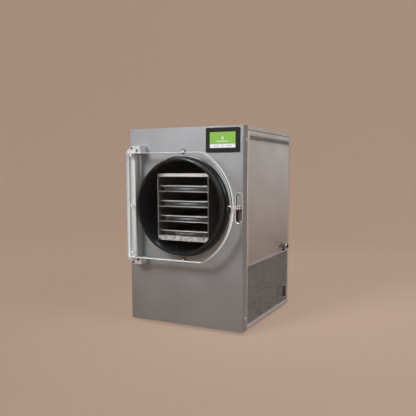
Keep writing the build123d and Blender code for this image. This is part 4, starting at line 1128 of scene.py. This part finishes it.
class FD_OT_display(bpy.types.Operator):
    """Display bezel and the fields of its screen"""
    bl_idname = "freeze_dryer.display"
    bl_label = "Display"

    def execute(self, context):
        settings = looks().screen
        dress(moulded("Bezel", settings.bezel, 0.42, 1600.0, 0.02, 0.04, Specular_IOR_Level=0.12),
              "display_bezel")
        low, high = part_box("display_screen")
        front, (x, _, z) = low[1], (low + high) / 2
        wide, tall, strip = SCREEN[0] * MM, SCREEN[1] * MM, STRIP * MM
        strip_z = z - tall / 2 + strip / 2
        shell = Shell()

        # Shares of the screen's width and, for the buttons' height, of the strip's
        aside, button, button_tall, bar_wide = 0.245, 0.455, 0.74, 0.20

        # A field is its outline, carried from the screen's front or back to the top of its layers
        def plate(index, outline, layers, back=0.0):
            points, faces, _ = prism(outline, front - layers * LAYER * MM, front + back)
            shell.add(points, faces, index)

        def field(index, x, z, width, height, radius, layers, back=0.0):
            plate(index, rounded_outline(width, height, radius * MM, 5) + (x, z), layers, back)

        field(0, x, z, high[0] - low[0], high[2] - low[2], 0.5, 0, high[1] - low[1])
        field(1, x, strip_z, wide - 1 * MM, strip, 0.6, 1)
        for button_x in (x - wide * aside, x + wide * aside):
            field(2, button_x, strip_z, wide * button, strip * button_tall, 1.6, 2)
            field(3, button_x, strip_z, wide * bar_wide, 1.6 * MM, 0.7, 3)
        field(3, x, strip_z, 1.2 * MM, strip * 0.6, 0.4, 2)
        above, arm, half = (size * MM for size in FLAKE)
        for angle, layers in ((90, 1.25), (30, 1.15), (-30, 1.05)):
            turn = math.radians(angle)
            along = arm * np.array([math.cos(turn), math.sin(turn)])
            across = half / arm * np.array([-along[1], along[0]])
            bar = np.array([-along - across, along - across, along + across, across - along])
            plate(2, bar + (x, z + above), layers)
        field(2, x, z - 4.4 * MM, 42.0 * MM, 2.0 * MM, 0.9, 1)
        materials = [glowing(label, shade, settings.glow) for label, shade in (
            ("Screen Field", settings.field), ("Screen Strip", settings.pale),
            ("Screen Button", settings.button), ("Screen Mark", settings.mark))]
        piece = shell.piece("touch_screen", "cabinet", "screen_glass", materials)
        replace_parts(piece, "display_screen")
        return {"FINISHED"}


class FD_PT_panel(bpy.types.Panel):
    """Buttons for each group of pieces"""
    bl_idname = "FD_PT_panel"
    bl_label = "Freeze Dryer"
    bl_space_type = "VIEW_3D"
    bl_region_type = "UI"
    bl_category = "Freeze Dryer"

    def draw(self, context):
        for operator in OPERATORS:
            self.layout.operator(operator.bl_idname)


OPERATORS = (FD_OT_stage, FD_OT_cabinet, FD_OT_machinery, FD_OT_door, FD_OT_chamber, FD_OT_rack,
             FD_OT_display)
CLASSES = (CabinetLooks, DoorLooks, ScreenLooks, TrayLooks, StageLooks, FreezeDryerLooks,
           *OPERATORS, FD_PT_panel)


def register():
    for item in CLASSES:
        bpy.utils.register_class(item)
    bpy.types.Scene.freeze_dryer = PointerProperty(type=FreezeDryerLooks)


def unregister():
    del bpy.types.Scene.freeze_dryer
    for item in reversed(CLASSES):
        bpy.utils.unregister_class(item)


def main():
    """Runs every operator."""
    register()
    bpy.context.scene.view_settings.view_transform = "Standard"
    for operator in OPERATORS:
        group, action = operator.bl_idname.split(".")
        getattr(getattr(bpy.ops, group), action)()


if __name__ == "__main__":
    main()
